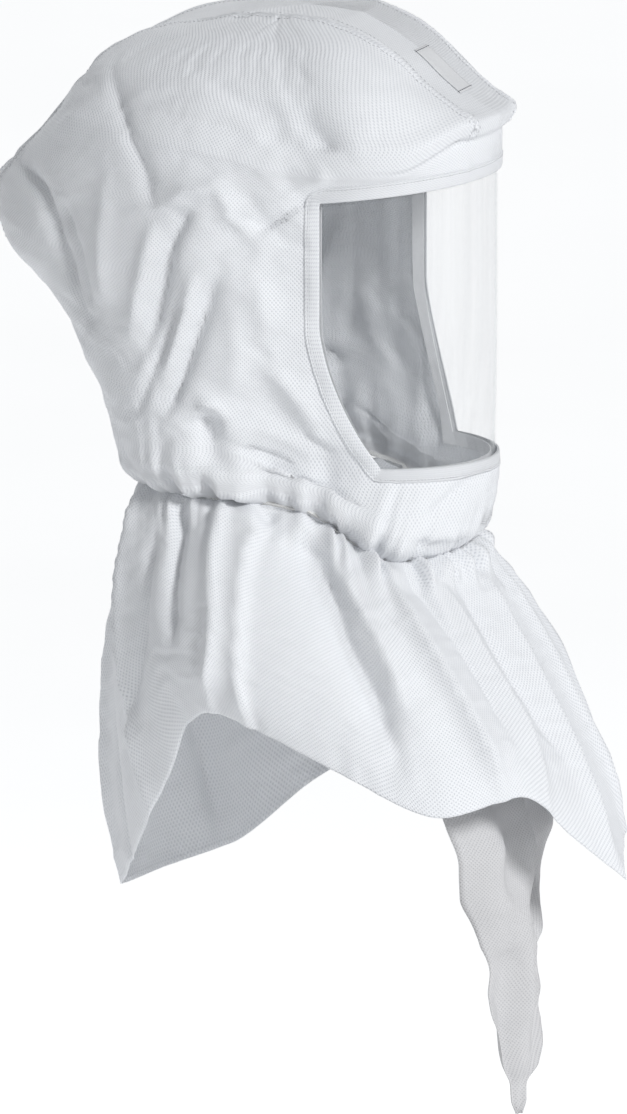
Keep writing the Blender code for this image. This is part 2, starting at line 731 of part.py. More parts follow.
def band_point(angle, outward=0.0):
    """A point of the headband's inner face at an angle from the front, positive round the right side."""
    turn = math.radians(angle)
    front = abs(angle) <= 90
    power = 2 / 2.2 if front else 2 / 2.6
    reach = BAND_FRONT if front else BAND_REAR
    sine, cosine = math.sin(turn), math.cos(turn)
    x = -BAND_HALF_WIDTH * math.copysign(abs(sine) ** power, sine)
    y = -reach * math.copysign(abs(cosine) ** power, cosine)
    slope = Vector((x / BAND_HALF_WIDTH ** 2, y / reach ** 2, 0)).normalized()
    return Vector((x, y, 0)) + slope * outward


def band_low(angle):
    """Height of the band's lower edge, which dips towards the nape."""
    return BAND_LIFT - BAND_DIP * smooth((abs(angle) - 75) / 75)


def band_strip(name, angles, inside, outside, low, high, slot):
    """A strip that follows the headband, between two depths and two heights above the band's lower edge."""
    sections = []
    for angle in angles:
        base = band_low(angle)
        near, far = band_point(angle, inside), band_point(angle, outside)
        sections.append([
            near + Vector((0, 0, base + low)), far + Vector((0, 0, base + low)),
            far + Vector((0, 0, base + high)), near + Vector((0, 0, base + high)),
        ])
    return sweep(name, sections, slot)


def spread(low, high, steps):
    return [mix(low, high, i / steps) for i in range(steps + 1)]


def make_headband():
    whole = spread(-BAND_END_ANGLE, BAND_END_ANGLE, 26)
    band = band_strip("headband", whole, 0.0, BAND_THICK, 0.0, BAND_HEIGHT, "harness")
    angles = [CROWN_STRAPS[0][1], CROWN_STRAPS[1][1], TEMPLE_ANGLE, STRAP_RIVET_ANGLE]
    for angle in angles + [-a for a in angles]:
        centre, axis = band_hole(angle)
        drill(band, centre, axis, SCREW_HOLE, 0.008)
    band_strip("brow_pad", spread(-52, 52, 10), -0.0057, -0.0007, 0.001, 0.023, "foam")


def band_hole(angle):
    """Centre of the band's thickness at half height, and the direction out of it."""
    centre = band_point(angle, BAND_THICK / 2) + Vector((0, 0, band_low(angle) + BAND_HEIGHT / 2))
    return centre, band_point(angle, 1.0) - band_point(angle, 0.0)


def crown_line(angle, top_y):
    """A crown strap's outer face: up the inside of the band, then an arch over the head."""
    start = band_point(angle, -STRAP_CLEARANCE)
    base = band_low(angle)
    low = base + 0.024
    points = [Vector((start.x, start.y, base + rise)) for rise in (0.004, 0.014, 0.024)]
    for turn in spread(0, math.pi / 2, 8)[1:]:
        forward = mix(start.y, top_y, 1 - math.cos(turn))
        points.append(Vector((start.x * math.cos(turn), forward, mix(low, CROWN_TOP, math.sin(turn)))))
    mirrored = [Vector((-p.x, p.y, p.z)) for p in reversed(points[:-1])]
    return points + mirrored


def crown_away(p, angle, line):
    """The direction out of a crown strap at one of its points."""
    start = line[0]
    if abs(p.x) > abs(start.x) * 0.999:
        out = band_point(angle, 1.0) - band_point(angle, 0.0)
        return Vector((out.x if p.x < 0 else -out.x, out.y, 0)).normalized()
    rise = max(p.z - line[2].z, 0.0)
    return Vector((p.x / BAND_HALF_WIDTH ** 2, 0, rise / 0.065 ** 2)).normalized()


def make_crown_straps():
    """Two straps over the head, each riveted inside the band at both ends."""
    grip = BAND_THICK + STRAP_CLEARANCE + STRAP_THICK
    for name, angle, top_y in CROWN_STRAPS:
        line = crown_line(angle, top_y)
        sections = []
        for k, p in enumerate(line):
            run = (line[min(k + 1, len(line) - 1)] - line[max(k - 1, 0)]).normalized()
            away = crown_away(p, angle, line)
            across = run.cross(away).normalized() * CROWN_STRAP_HALF_WIDTH
            inward = away * STRAP_THICK
            sections.append([p + across, p - across, p - across - inward, p + across - inward])
        strap = sweep(f"crown_strap_{name}", sections, "harness")
        for side, word in ((1, "right"), (-1, "left")):
            centre, axis = band_hole(side * angle)
            drill(strap, centre, axis, SCREW_HOLE, 0.012)
            middle = centre - axis.normalized() * (STRAP_CLEARANCE + STRAP_THICK) / 2
            fastener(f"crown_rivet_{name}_{word}", middle, axis, grip)


def make_crown_pad():
    high = CROWN_TOP - STRAP_THICK - 0.0013
    box("crown_pad", (-0.011, -0.040, high - 0.0028), (0.011, 0.018, high), "foam", 0.0009)


def make_duct_saddle():
    """The block that joins the crown straps to the duct, with its two screws."""
    corners = (-0.015, -0.038, CROWN_TOP + GAP), (0.015, 0.016, SADDLE_TOP)
    saddle = box("duct_saddle", *corners, "harness", 0.0005)
    for n, y in enumerate(SADDLE_SCREWS):
        drill(saddle, (0, y, 0.089), (0, 0, 1), SCREW_HOLE, 0.012)
        low, high = CROWN_TOP + GAP, SADDLE_TOP + 0.0036
        fastener(f"saddle_screw_{n + 1}", (0, y, (low + high) / 2), (0, 0, 1), high - low, head=0.0028)


def make_rear_straps():
    """The toothed straps from the band's ends into the ratchet, one over the other, each with a slot."""
    first = BAND_THICK + GAP
    grip = first + STRAP_THICK
    for side, word, depth in ((1, "right", first), (-1, "left", first + GAP + STRAP_THICK)):
        sections = []
        for angle in spread(106, 200, 22):
            inside = mix(first, depth, smooth((angle - 120) / 20))
            base = Vector((0, 0, band_low(angle)))
            near = wrap_point(side * angle, inside) + base
            far = wrap_point(side * angle, inside + STRAP_THICK) + base
            low, high = Vector((0, 0, REAR_STRAP_LOW)), Vector((0, 0, REAR_STRAP_HIGH))
            sections.append([near + low, far + low, far + high, near + high])
        strap = sweep(f"rear_strap_{word}", sections, "harness")
        centre, axis = band_hole(side * STRAP_RIVET_ANGLE)
        drill(strap, centre, axis, SCREW_HOLE, 0.012)
        middle = centre + axis.normalized() * (GAP + STRAP_THICK) / 2
        fastener(f"strap_rivet_{word}", middle, axis, grip)
        combine(strap, rack_slot(f"rear_strap_{word}_slot", side))


def wrap_point(angle, outward):
    """A band point that may run past the nape to the other side."""
    if angle > 180:
        angle -= 360
    if angle < -180:
        angle += 360
    return band_point(angle, outward)


def rack_slot(name, teeth_side):
    """A slot with a toothed edge above (1) or below (-1) and a straight one opposite, for the pinion."""
    pitch = PINION_RADIUS * math.tau / PINION_TEETH
    tip = teeth_side * (PINION_RADIUS + 0.0012)
    root = teeth_side * (PINION_RADIUS - 0.0006)
    plain = -teeth_side * (PINION_RADIUS + 0.0014)
    count = int(2 * RACK_HALF_LENGTH / pitch)
    start = count * pitch / 2
    outline = [(-RACK_HALF_LENGTH, plain), (RACK_HALF_LENGTH, plain), (RACK_HALF_LENGTH, tip)]
    for i in range(count):
        x = start - i * pitch
        steps = ((0.15, tip), (0.35, root), (0.65, root), (0.85, tip))
        outline += [(x - share * pitch, z) for share, z in steps]
    outline.append((-RACK_HALF_LENGTH, tip))
    sections = [[(x, y, RATCHET_Z + z) for x, z in outline] for y in (0.070, 0.110)]
    return sweep(name, sections, "steel")


def make_ratchet():
    """Housing, cover, pinion, click spring, knob, screw and nape pad at the rear of the band."""
    zc = RATCHET_Z
    y0 = RATCHET_BASE_Y
    rim = y0 + 0.0123
    housing_outline = [
        (y0, zc - 0.016), (rim, zc - 0.016), (rim, zc - 0.0145), (y0 + 0.0016, zc - 0.0145),
        (y0 + 0.0016, zc + 0.0145), (rim, zc + 0.0145), (rim, zc + 0.016), (y0, zc + 0.016),
    ]
    prism("ratchet_housing", housing_outline, 0.032, "harness")
    low, high = rim + 0.0004, rim + 0.0020
    cover = box("ratchet_cover", (-0.032, low, zc - 0.016), (0.032, high, zc + 0.016), "harness", 0.0006)
    drill(cover, (0, (low + high) / 2, zc), (0, 1, 0), SHAFT_RADIUS + 0.00008, 0.008, 24)
    place = facing((0, y0, zc), (0, 1, 0))
    make_pinion(place)
    spring = [(0.0062, 0.0147), (0.0125, 0.0147), (0.0125, 0.0150), (0.0062, 0.0150)]
    turned("click_spring", spring, place, "steel", 20, ring=True)
    make_knob(place)
    head = [(0.0012, 0.0180), (0.0012, 0.02565), (0.0042, 0.02565), (0.0042, 0.0268), (0.0030, 0.0273)]
    turned("knob_screw", head, place, "steel", 12)
    box("nape_pad", (-0.030, y0 - GAP - 0.005, zc - 0.014), (0.030, y0 - GAP, zc + 0.014), "foam", 0.0014)


def make_pinion(place):
    """The toothed pinion and its shaft, bored for the knob's screw."""
    points = 4 * PINION_TEETH

    def outline(height, gear):
        section = []
        for i in range(points):
            turn = math.tau * (i + 0.5) / points
            phase = ((i + 0.5) * PINION_TEETH / points) % 1.0
            radius = SHAFT_RADIUS
            if gear:
                radius = PINION_RADIUS + (0.0005 if 0.25 < phase < 0.75 else -0.0009)
            section.append(place @ Vector((radius * math.cos(turn), radius * math.sin(turn), height)))
        return section

    def bore(height):
        return circle(0.0016, height, place, points)

    sections = [
        outline(0.0030, True), outline(0.0121, True), outline(0.0121, False), outline(0.0248, False),
        bore(0.0248), bore(0.0030),
    ]
    sweep("ratchet_pinion", sections, "accent", closed=True)


def make_knob(place):
    """A scalloped knob with a through bore over the pinion's shaft."""
    points = 36
    lobes = 9

    def rim(height, size):
        section = []
        for i in range(points):
            turn = math.tau * i / points
            radius = size * (1 - 0.045 * (1 - math.cos(lobes * turn)) / 2)
            section.append(place @ Vector((radius * math.cos(turn), radius * math.sin(turn), height)))
        return section

    def bore(height):
        return circle(SHAFT_RADIUS + GAP, height, place, points)

    sections = [
        rim(0.0155, KNOB_RADIUS * 0.96), rim(0.0165, KNOB_RADIUS), rim(0.0238, KNOB_RADIUS),
        rim(0.0252, KNOB_RADIUS * 0.93), bore(0.0252), bore(0.0155),
    ]
    sweep("ratchet_knob", sections, "accent", closed=True)


# ---------------------------------------------------------------- brow frame


def make_brow_frame():
    """A bow that spreads the hood above the window, running back to the temples."""
    half = LENS_HALF_WIDTH - FRAME_INSET
    reach = LENS_REACH - FRAME_INSET
    line = [(-half, y) for y in (-0.012, -0.045)]
    steps = 14
    for i in range(steps + 1):
        turn = math.pi * i / steps
        line.append((-half * math.cos(turn), LENS_CENTRE_Y - reach * math.sin(turn)))
    line += [(half, y) for y in (-0.045, -0.012)]
    sections = []
    for k, (x, y) in enumerate(line):
        turn = math.pi * min(max(k - 2, 0), steps) / steps
        away = Vector((-math.cos(turn) / half, -math.sin(turn) / reach, 0)).normalized()
        outer = Vector((x, y, 0))
        inner = outer - away * FRAME_THICK
        up_low, up_high = Vector((0, 0, FRAME_LOW)), Vector((0, 0, FRAME_HIGH))
        sections.append([outer + up_low, inner + up_low, inner + up_high, outer + up_high])
    frame = sweep("brow_frame", sections, "harness")
    middle = (FRAME_LOW + FRAME_HIGH) / 2
    for side in (-1, 1):
        drill(frame, (side * 0.0875, TEMPLE_Y, middle), (1, 0, 0), SCREW_HOLE, 0.010)
    drill(frame, (0, -0.1585, middle - 0.0005), (0, 1, 0), SCREW_HOLE, 0.010)


def make_temple_brackets():
    """Brackets that carry the brow frame on the headband, each with a rivet and a screw."""
    for side, word in ((-1, "right"), (1, "left")):
        outer = LENS_HALF_WIDTH - FRAME_INSET - FRAME_THICK - GAP
        name = f"temple_bracket_{word}"
        inner = outer - BRACKET_THICK
        low_x, high_x = sorted((side * inner, side * outer))
        front, back = TEMPLE_Y - 0.009, TEMPLE_Y + 0.009
        bracket = box(name, (low_x, front, 0.0060), (high_x, back, FRAME_HIGH), "harness")
        hole, axis = band_hole(-side * TEMPLE_ANGLE)
        axis = axis.normalized()
        boss_start = hole + axis * (BAND_THICK / 2 + BOSS_GAP)
        boss_length = (inner + 0.0006 - abs(boss_start.x)) / abs(axis.x)
        boss_profile = [(0.0048, 0.0), (0.0048, boss_length)]
        boss = turned(f"{name}_boss", boss_profile, facing(boss_start, axis), "steel", 16)
        combine(bracket, boss, "UNION")
        drill(bracket, hole, axis, SCREW_HOLE, 0.030)
        grip = BAND_THICK / 2 + BOSS_GAP + boss_length + BRACKET_THICK
        middle = hole + axis * (grip - BAND_THICK / 2) / 2
        fastener(f"temple_rivet_{word}", middle, axis, grip + BAND_THICK / 2 + 0.0006)
        frame_face = LENS_HALF_WIDTH - FRAME_INSET
        joint = (side * (inner + frame_face) / 2, TEMPLE_Y, (FRAME_LOW + FRAME_HIGH) / 2)
        drill(bracket, joint, (1, 0, 0), SCREW_HOLE, 0.012)
        fastener(f"temple_screw_{word}", joint, (side, 0, 0), frame_face - inner, head=0.0030)


def bracket_screw_place():
    """Middle and direction of the screw that joins the brow bracket to the duct base."""
    a, b = Vector(DUCT_INNER[0]), Vector(DUCT_INNER[1])
    along = (b - a).normalized()
    away = Vector((along.y, -along.x))
    at = a + along * 0.0115
    return Vector((0, *at)), Vector((0, *away))


def make_brow_bracket():
    """A bent plate from the brow frame up to the duct's underside, with its two screws."""
    a, b = Vector(DUCT_INNER[0]), Vector(DUCT_INNER[1])
    along = (b - a).normalized()
    away = Vector((along.y, -along.x))
    near, far = away * GAP, away * 0.0022
    back_y = LENS_CENTRE_Y - LENS_REACH + FRAME_INSET + FRAME_THICK + BOW_CLEARANCE
    outline = [
        a + along * 0.017 + near, a - along * 0.003 + near, Vector((back_y, FRAME_HIGH + 0.0004)),
        Vector((back_y, FRAME_LOW + 0.0004)), Vector((back_y + BRACKET_THICK, FRAME_LOW + 0.0004)),
        Vector((back_y + BRACKET_THICK, FRAME_HIGH - 0.0008)),
        a - along * 0.0022 + far, a + along * 0.017 + far,
    ]
    bracket = prism("brow_bracket", outline, 0.012, "harness")
    middle_z = (FRAME_LOW + FRAME_HIGH) / 2 - 0.0005
    drill(bracket, (0, back_y, middle_z), (0, 1, 0), SCREW_HOLE, 0.012)
    grip = FRAME_THICK + BOW_CLEARANCE + BRACKET_THICK
    front = (0, back_y - FRAME_THICK - BOW_CLEARANCE + grip / 2, middle_z)
    fastener("brow_screw_frame", front, (0, 1, 0), grip, head=0.0028)
    point, axis = bracket_screw_place()
    drill(bracket, point, axis, SCREW_HOLE, 0.012)
    low, high = -DUCT_WALL, 0.0022
    fastener("brow_screw_duct", point + axis * (low + high) / 2, axis, high - low, head=0.0028)


# ---------------------------------------------------------------- the object


def main():
    for old in list(bpy.data.objects):
        bpy.data.objects.remove(old)
    make_hood()
    make_label()
    make_lens()
    make_window_binding()
    make_neck_elastic()
    make_outer_shroud()
    make_inner_shroud()
    make_duct_cover()
    make_duct_base()
    make_outlet_grille()
    make_inlet()
    make_airflow_slide(-1, "airflow_slide_right")
    make_airflow_slide(1, "airflow_slide_left")
    make_headband()
    make_crown_straps()
    make_crown_pad()
    make_duct_saddle()
    make_rear_straps()
    make_ratchet()
    make_brow_frame()
    make_temple_brackets()
    make_brow_bracket()


main()
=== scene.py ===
"""Looks of a powered air respirator hood: a sewn nonwoven hood with a wraparound visor and a draped shroud.

Metres, +Z up, the hood faces -Y and the wearer's right is -X. The fabric is built as grids of points on
smooth surfaces, then creased along lines of folds, and crumpled by a short cloth simulation.
Tables give millimetres, because the pieces are drawn in them.
"""
import math

import bmesh
import bpy
import numpy as np
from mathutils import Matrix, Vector, geometry
from mathutils.bvhtree import BVHTree


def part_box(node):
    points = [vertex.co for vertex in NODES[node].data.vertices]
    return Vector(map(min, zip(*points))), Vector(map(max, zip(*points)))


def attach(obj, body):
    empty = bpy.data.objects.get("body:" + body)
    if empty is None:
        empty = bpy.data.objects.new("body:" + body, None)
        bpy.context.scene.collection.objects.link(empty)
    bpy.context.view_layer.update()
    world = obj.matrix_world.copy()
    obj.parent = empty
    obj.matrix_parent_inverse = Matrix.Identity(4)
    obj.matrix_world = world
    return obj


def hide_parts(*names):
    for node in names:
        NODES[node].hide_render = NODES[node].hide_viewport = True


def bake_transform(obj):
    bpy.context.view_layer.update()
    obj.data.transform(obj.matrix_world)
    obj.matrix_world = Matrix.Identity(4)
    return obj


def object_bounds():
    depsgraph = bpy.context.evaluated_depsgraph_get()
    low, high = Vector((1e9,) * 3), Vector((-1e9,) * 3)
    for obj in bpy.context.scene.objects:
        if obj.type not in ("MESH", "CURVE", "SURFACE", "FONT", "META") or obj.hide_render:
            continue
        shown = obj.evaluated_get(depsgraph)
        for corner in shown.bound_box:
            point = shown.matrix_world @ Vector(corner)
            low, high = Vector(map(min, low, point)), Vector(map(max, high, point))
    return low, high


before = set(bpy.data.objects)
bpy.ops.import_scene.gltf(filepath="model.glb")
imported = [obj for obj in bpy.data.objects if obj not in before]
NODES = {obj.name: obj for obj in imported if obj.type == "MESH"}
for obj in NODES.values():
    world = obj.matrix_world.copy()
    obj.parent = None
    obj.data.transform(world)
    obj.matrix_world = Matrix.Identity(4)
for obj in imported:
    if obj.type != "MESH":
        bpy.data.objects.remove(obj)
cad_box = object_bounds()

MM = 0.001

# Fabric sizes
FABRIC = 0.0012
CLOTH_THICK = 0.0006
LENS_CLEARANCE = 0.0010
EMBOSS_PITCH = 0.0026
STITCH_PITCH = 0.0032
FOLD_SHARPNESS = 1.15
FOLD_GAIN = 1.6
PAD_ROUNDING = 0.06

# The cloth simulations: steps, and how much the cloth grows
HOOD_SETTLING = (22, 0.006)
SHROUD_SETTLING = (24, 0.009)
SEED = 7

# Blank label on the crown's front: middle, size, and its slope down the front as (y, z)
LABEL_MIDDLE = np.array((0.0, -0.1302, 0.0826))
LABEL_LENGTH, LABEL_WIDTH = 0.040, 0.019
LABEL_SLOPE = (-0.0310, -0.0236)

# Camera: turned from the front to the wearer's right, above level, far off, and half the height it frames
CAMERA_AZIMUTH, CAMERA_ELEVATION = math.radians(-68), math.radians(12)
CAMERA_DISTANCE = 14.0
CAMERA_TARGET = (0.0149, -0.0368, -0.2395)
HALF_SENSOR = 18
HALF_VIEW = 0.351
FLOOR_DROP = 0.65

# Visor lens, an elliptical sheet that is drawn in below the cheeks
LENS_HALF_WIDTH = 0.0885
LENS_REACH = 0.0767
LENS_CENTRE_Y = -0.083
LENS_TAPER_TOP = -0.069
LENS_TAPER_HEIGHT = 0.093
LENS_DRAW_IN = 0.0181
LENS_MARGIN = 0.008
LENS_THICK = 0.0008

# Window in the fabric: its top edge in front and at the corners, its bottom edge, and its half angle there
WINDOW_TOP_FRONT = 0.018
WINDOW_TOP_SIDE = 0.010
WINDOW_BOTTOM = -0.162
WINDOW_BOTTOM_ANGLE = 67.0

# Stations round the hood: the window's side, the widest place, the rear strip and the back middle
CORNER, WIDEST, STRIP, REAR = 8, 11, 17, 20
STRIP_HALF_WIDTH = 0.030
HOOD_METRES_PER_STATION, SHROUD_METRES_PER_STATION = 0.0155, 0.0175
HOOD_TOP = 0.1145
BRIM_DROOP = 0.017
CROWN_CAP = np.array((0.0, -0.040, 0.1175))
WAIST = np.array((0.0, -0.045, 0.0))

# Levels of the hood, bottom to top, in millimetres: front z, side z, back z, front y, corner half width,
# corner y, widest y, half width there, back y, squareness of the front, fullness of the rear quarters. In
# front of the lens the front y and the corner half width follow the lens.
LEVELS = [
    (-222, -184, -179, -142, 76, -83, -10, 91, 52, 2, 1.0),
    (-208, -172, -168, -155, 79, -83, -5, 100, 66, 2, 1.0),
    (-186, -158, -156, -162, 77, -83, 0, 105, 73, 2, 1.0),
    (-170, -146, -142, None, None, -83, 0, 107, 78, 2, 1.0),
    (-144, -130, -117, None, None, -83, 0, 109, 88, 2, 1.0),
    (-115, -107, -79, None, None, -83, 0, 110, 106, 2, 1.15),
    (-90, -85, -56.5, None, None, -83, 0, 110, 129.5, 2, 1.3),
    (-62, -59, -34, None, None, -83, 0, 110, 153, 2, 1.4),
    (-38, -36, -20, None, None, -83, 0, 110, 158, 2, 1.4),
    (-10, -9, -4, None, None, -83, 0, 109, 157, 2, 1.4),
    (20, 20, 16, None, None, -83, 0, 107, 141, 2, 1.25),
    (32, 32, 28, None, None, -83, 0, 106, 132, 2, 1.18),
    (43, 43, 40, None, None, -83, 0, 105, 123, 2, 1.1),
    (48, 49, 51, -167.0, 90, -83, 0, 103, 114, 2.05, 1.0),
    (57, 59, 64, -168.5, 88, -83, 0, 98, 104, 2.2, 1.0),
    (63, 65, 70, -157, 86, -83, 0, 95, 98, 2.3, 1.0),
    (78, 79, 82, -135, 80, -75, -5, 87, 87, 2.5, 1.0),
    (94, 94, 94, -116, 70, -66, -10, 75, 67, 2.7, 1.0),
    (106, 106, 105, -96, 60, -60, -20, 62, 41, 3, 1.0),
    (114.5, 113.5, 111.5, -77, 46, -50, -30, 48, 12, 2.5, 1.0),
]

# Lower edge of the shroud: station, then x, y, z in millimetres
HEM_RIGHT = [
    (0, 2, -252, -426), (2, -36, -232, -392), (4, -70, -208, -362), (6, -110, -173, -370),
    (8, -128, -118, -346), (10, -133, -65, -322), (12, -130, -28, -311), (14, -118, -6, -322),
    (15, -105, 10, -353), (17, -62, 50, -412), (20, 3, 89, -458),
]
HEM_LEFT = [
    (0, 2, -252, -426), (2, 40, -238, -408), (4, 80, -215, -392), (6, 118, -175, -380),
    (8, 135, -118, -372), (10, 138, -60, -378), (12, 130, -20, -392), (14, 118, 8, -410),
    (16, 100, 54, -449), (18, 50, 82, -457), (20, 3, 89, -458),
]

# Seams that stand up as ridges on the right, as folds are given
SEAMS = [
    (1.8, 3.5, 5.5, [(-31, -164, 47), (-31, -166, 52), (-33, -157, 61), (-36, -123, 90), (-38, -90, 106),
                     (-38, -60, 114), (-36, -20, 115), (-33, 20, 110)]),
    (0.8, 4.0, 4.0, [(-33, 20, 110), (-34, 90, 82), (-34, 141, 20), (-34, 157, -10), (-34, 129, -60),
                     (-34, 88, -110), (-34, 72, -150), (-34, 56, -178)]),
]

# Folds pressed into the hood on the wearer's right: height in millimetres, out of the cloth when positive,
# its widths to the left and right of the line's run, and the line's points. The left has them too, softer.
# Some of the points were measured by a program, the others are set one by one.
FOLDS = [
    (-4.0, 8, 3, [(-108, -40, -16), (-104, -58, -5), (-99, -74, 7), (-88, -88, 12), (-76, -104, 18)]),
    (2.6, 9, 5, [(-105, -45, 0), (-101, -62, 9), (-94, -78, 19), (-82, -96, 26)]),
    (3.6, 4, 7, [(-106, -47, -16), (-108, -36, -7), (-109, -28, 0), (-108, -24, 11), (-108, -17, 17),
                 (-107, 0, 15), (-107, 12, 6)]),
    (-1.8, 9, 5, [(-82, 4, 86), (-90, -36, 68), (-95, -74, 51), (-87, -91, 32)]),
    (-2.4, 7, 5, [(-93, -60, 62), (-93, -78, 53), (-88, -96, 30), (-86, -106, 14)]),
    (2.0, 6, 9, [(-99, -50, 50), (-97, -72, 36), (-92, -88, 20)]),
    (-5.0, 4, 6, [(-74, -122, 24), (-60, -133, 33), (-42, -146, 40), (-28, -156, 44)]),
    (2.6, 5, 6, [(-72, -118, 18), (-54, -135, 24), (-36, -148, 27), (-18, -155, 29)]),
    (-4.5, 7, 5, [(-46, 142, 14), (-70, 115, 2), (-80, 99, -25), (-86, 74, -76)]),
    (-3.2, 5, 6, [(-80, 97, -2), (-88, 80, -35), (-90, 70, -70)]),
    (-2.8, 9, 8, [(-70, 68, 82), (-93, 50, 56), (-103, 32, 26), (-106, 24, 0)]),
    (2.4, 7, 8, [(-100, 60, 20), (-98, 62, -20), (-96, 58, -70)]),
    (-5.0, 5, 10, [(-108, -6, 6), (-109, 7, -16), (-108, 16, -50), (-104, 30, -92)]),
    (2.8, 6, 5, [(-108, 22, -4), (-106, 30, -40), (-102, 40, -80)]),
    (-5.0, 5, 9, [(-109, -24, -34), (-110, -11, -69), (-110, 3, -105), (-108, 14, -130)]),
    (3.0, 6, 4, [(-110, -8, -34), (-110, 4, -68), (-108, 16, -104)]),
    (-2.6, 5, 4, [(-110, 2, -50), (-108, 18, -90), (-103, 34, -128)]),
    (3.4, 7, 9, [(-106, -46, -12), (-106, -52, -56), (-104, -58, -86), (-99, -68, -108), (-90, -78, -132),
                 (-74, -88, -152)]),
    (-2.6, 12, 10, [(-108, -40, -84), (-104, -54, -110), (-96, -70, -134)]),
    (2.2, 8, 8, [(-109, -30, -52), (-108, -34, -84), (-107, -30, -116)]),
    (-9.0, 6, 7, [(-108, -15, -126), (-108, -17, -142), (-107, -20, -166)]),
    (4.5, 3, 3, [(-108, -6, -128), (-108, -13, -119), (-108, -22, -123), (-107, -28, -136), (-105, -32, -160),
                 (-102, -38, -176)]),
    (-6.0, 5, 9, [(-105, -34, -146), (-101, -49, -152), (-93, -64, -159), (-88, -71, -168)]),
    (3.0, 7, 5, [(-103, -44, -138), (-95, -62, -147), (-84, -76, -162)]),
    (-2.8, 5, 4, [(2, -163, -171), (-29, -156, -176), (-43, -149, -184), (-53, -140, -194)]),
    (2.2, 6, 6, [(-64, -108, -168), (-42, -138, -172), (-14, -154, -180)]),
    (2.6, 4, 5, [(-77, -99, -203), (-66, -122, -199), (-44, -141, -207), (-22, -152, -206)]),
    (-3.0, 5, 5, [(-60, -130, -206), (-38, -145, -214), (-10, -150, -216)]),
]

# Folds of the shroud: height, widths, then station and share of the way down from the neck to the hem.
# Some of these points too were measured by a program.
SHROUD_FOLDS = [
    (4.0, 3, 8, [(9.0, 0.0), (9.9, 0.18), (10.2, 0.5), (10.5, 0.8), (10.6, 1.0)]),
    (-12.0, 8, 12, [(8.9, -0.02), (8.2, 0.21), (7.7, 0.42), (7.2, 0.57), (6.8, 0.78)]),
    (5.0, 10, 5, [(8.0, 0.1), (7.2, 0.26), (6.7, 0.42), (6.4, 0.6)]),
    (8.0, 13, 7, [(5.6, 0.0), (5.2, 0.3), (4.9, 0.49), (4.6, 0.72), (4.4, 1.0)]),
    (-4.5, 9, 9, [(4.4, 0.0), (3.9, 0.2), (3.6, 0.45), (3.4, 0.8)]),
    (3.5, 6, 6, [(2.8, 0.0), (2.8, 0.3), (2.5, 0.63), (3.0, 1.0)]),
    (-4.0, 7, 9, [(1.4, 0.0), (1.6, 0.3), (1.0, 0.7)]),
    (4.5, 6, 8, [(-0.2, 0.02), (0.2, 0.4), (0.3, 1.0)]),
    (5.0, 8, 6, [(10.7, 0.02), (10.9, 0.5), (12.0, 0.95)]),
    (-5.5, 9, 7, [(11.8, 0.0), (12.3, 0.3), (13.2, 0.7)]),
    (-4.5, 8, 8, [(13.1, 0.12), (14.7, 0.55), (16.4, 0.8)]),
    (5.5, 9, 9, [(14.2, 0.0), (15.4, 0.4), (16.2, 1.0)]),
    (-5.0, 9, 10, [(16.5, 0.0), (17.4, 0.4), (18.2, 1.0)]),
    (5.5, 9, 9, [(18.2, 0.0), (19.2, 0.4), (19.9, 1.0)]),
    (-4.5, 9, 9, [(-19.0, 0.0), (-18.3, 0.5), (-18.8, 0.95)]),
    (5.5, 9, 8, [(-17.6, 0.0), (-16.6, 0.5), (-16.2, 1.0)]),
    (-6.0, 10, 9, [(-15.6, 0.0), (-14.6, 0.4), (-14.2, 0.9)]),
    (5.0, 8, 10, [(-13.6, 0.0), (-12.8, 0.5), (-12.6, 1.0)]),
    (-6.0, 9, 9, [(-11.4, 0.0), (-10.8, 0.45), (-10.9, 0.9)]),
    (5.0, 10, 8, [(-9.4, 0.0), (-9.0, 0.4), (-9.1, 1.0)]),
    (-6.5, 9, 8, [(-7.9, 0.0), (-7.2, 0.35), (-6.9, 0.8)]),
    (5.5, 9, 9, [(-6.0, 0.0), (-5.4, 0.5), (-5.3, 1.0)]),
    (-5.0, 8, 9, [(-4.2, 0.0), (-3.7, 0.4), (-3.4, 0.9)]),
    (4.5, 8, 7, [(-2.2, 0.0), (-2.0, 0.5), (-2.3, 1.0)]),
]

# The flap inside the shroud: z, half width, y of its middle, how far back its edges curl
FLAP = [
    (-232, 82, -129, 46), (-285, 80, -142, 34), (-340, 74, -162, 22), (-389, 70, -180, 14),
    (-412, 66, -185, 14), (-434, 57, -185, 12), (-456, 44, -187, 11), (-470, 39, -188, 10),
    (-486, 31, -188, 9), (-500, 36, -188, 8),
    (-512, 38, -188, 8), (-530, 31, -187, 6), (-549, 21, -187, 5), (-565, 8, -184, 2),
    (-573, 8, -184, 2), (-583, 1.5, -183, 0),
]


# ---------------------------------------------------------------- numbers and meshes


def mix(a, b, t):
    return a + (b - a) * t


def smooth(t):
    t = np.clip(t, 0.0, 1.0)
    return t * t * (3 - 2 * t)


def gentle_slopes(keys, values):
    """Slopes at a table's rows that keep the curve between its neighbours' values."""
    rise = np.diff(values, axis=0) / np.diff(keys)[:, None]
    before, after = rise[:-1], rise[1:]
    same = before * after > 0
    middle = np.where(same, 2 * before * after / np.where(same, before + after, 1), 0)
    return np.concatenate([rise[:1], middle, rise[-1:]])


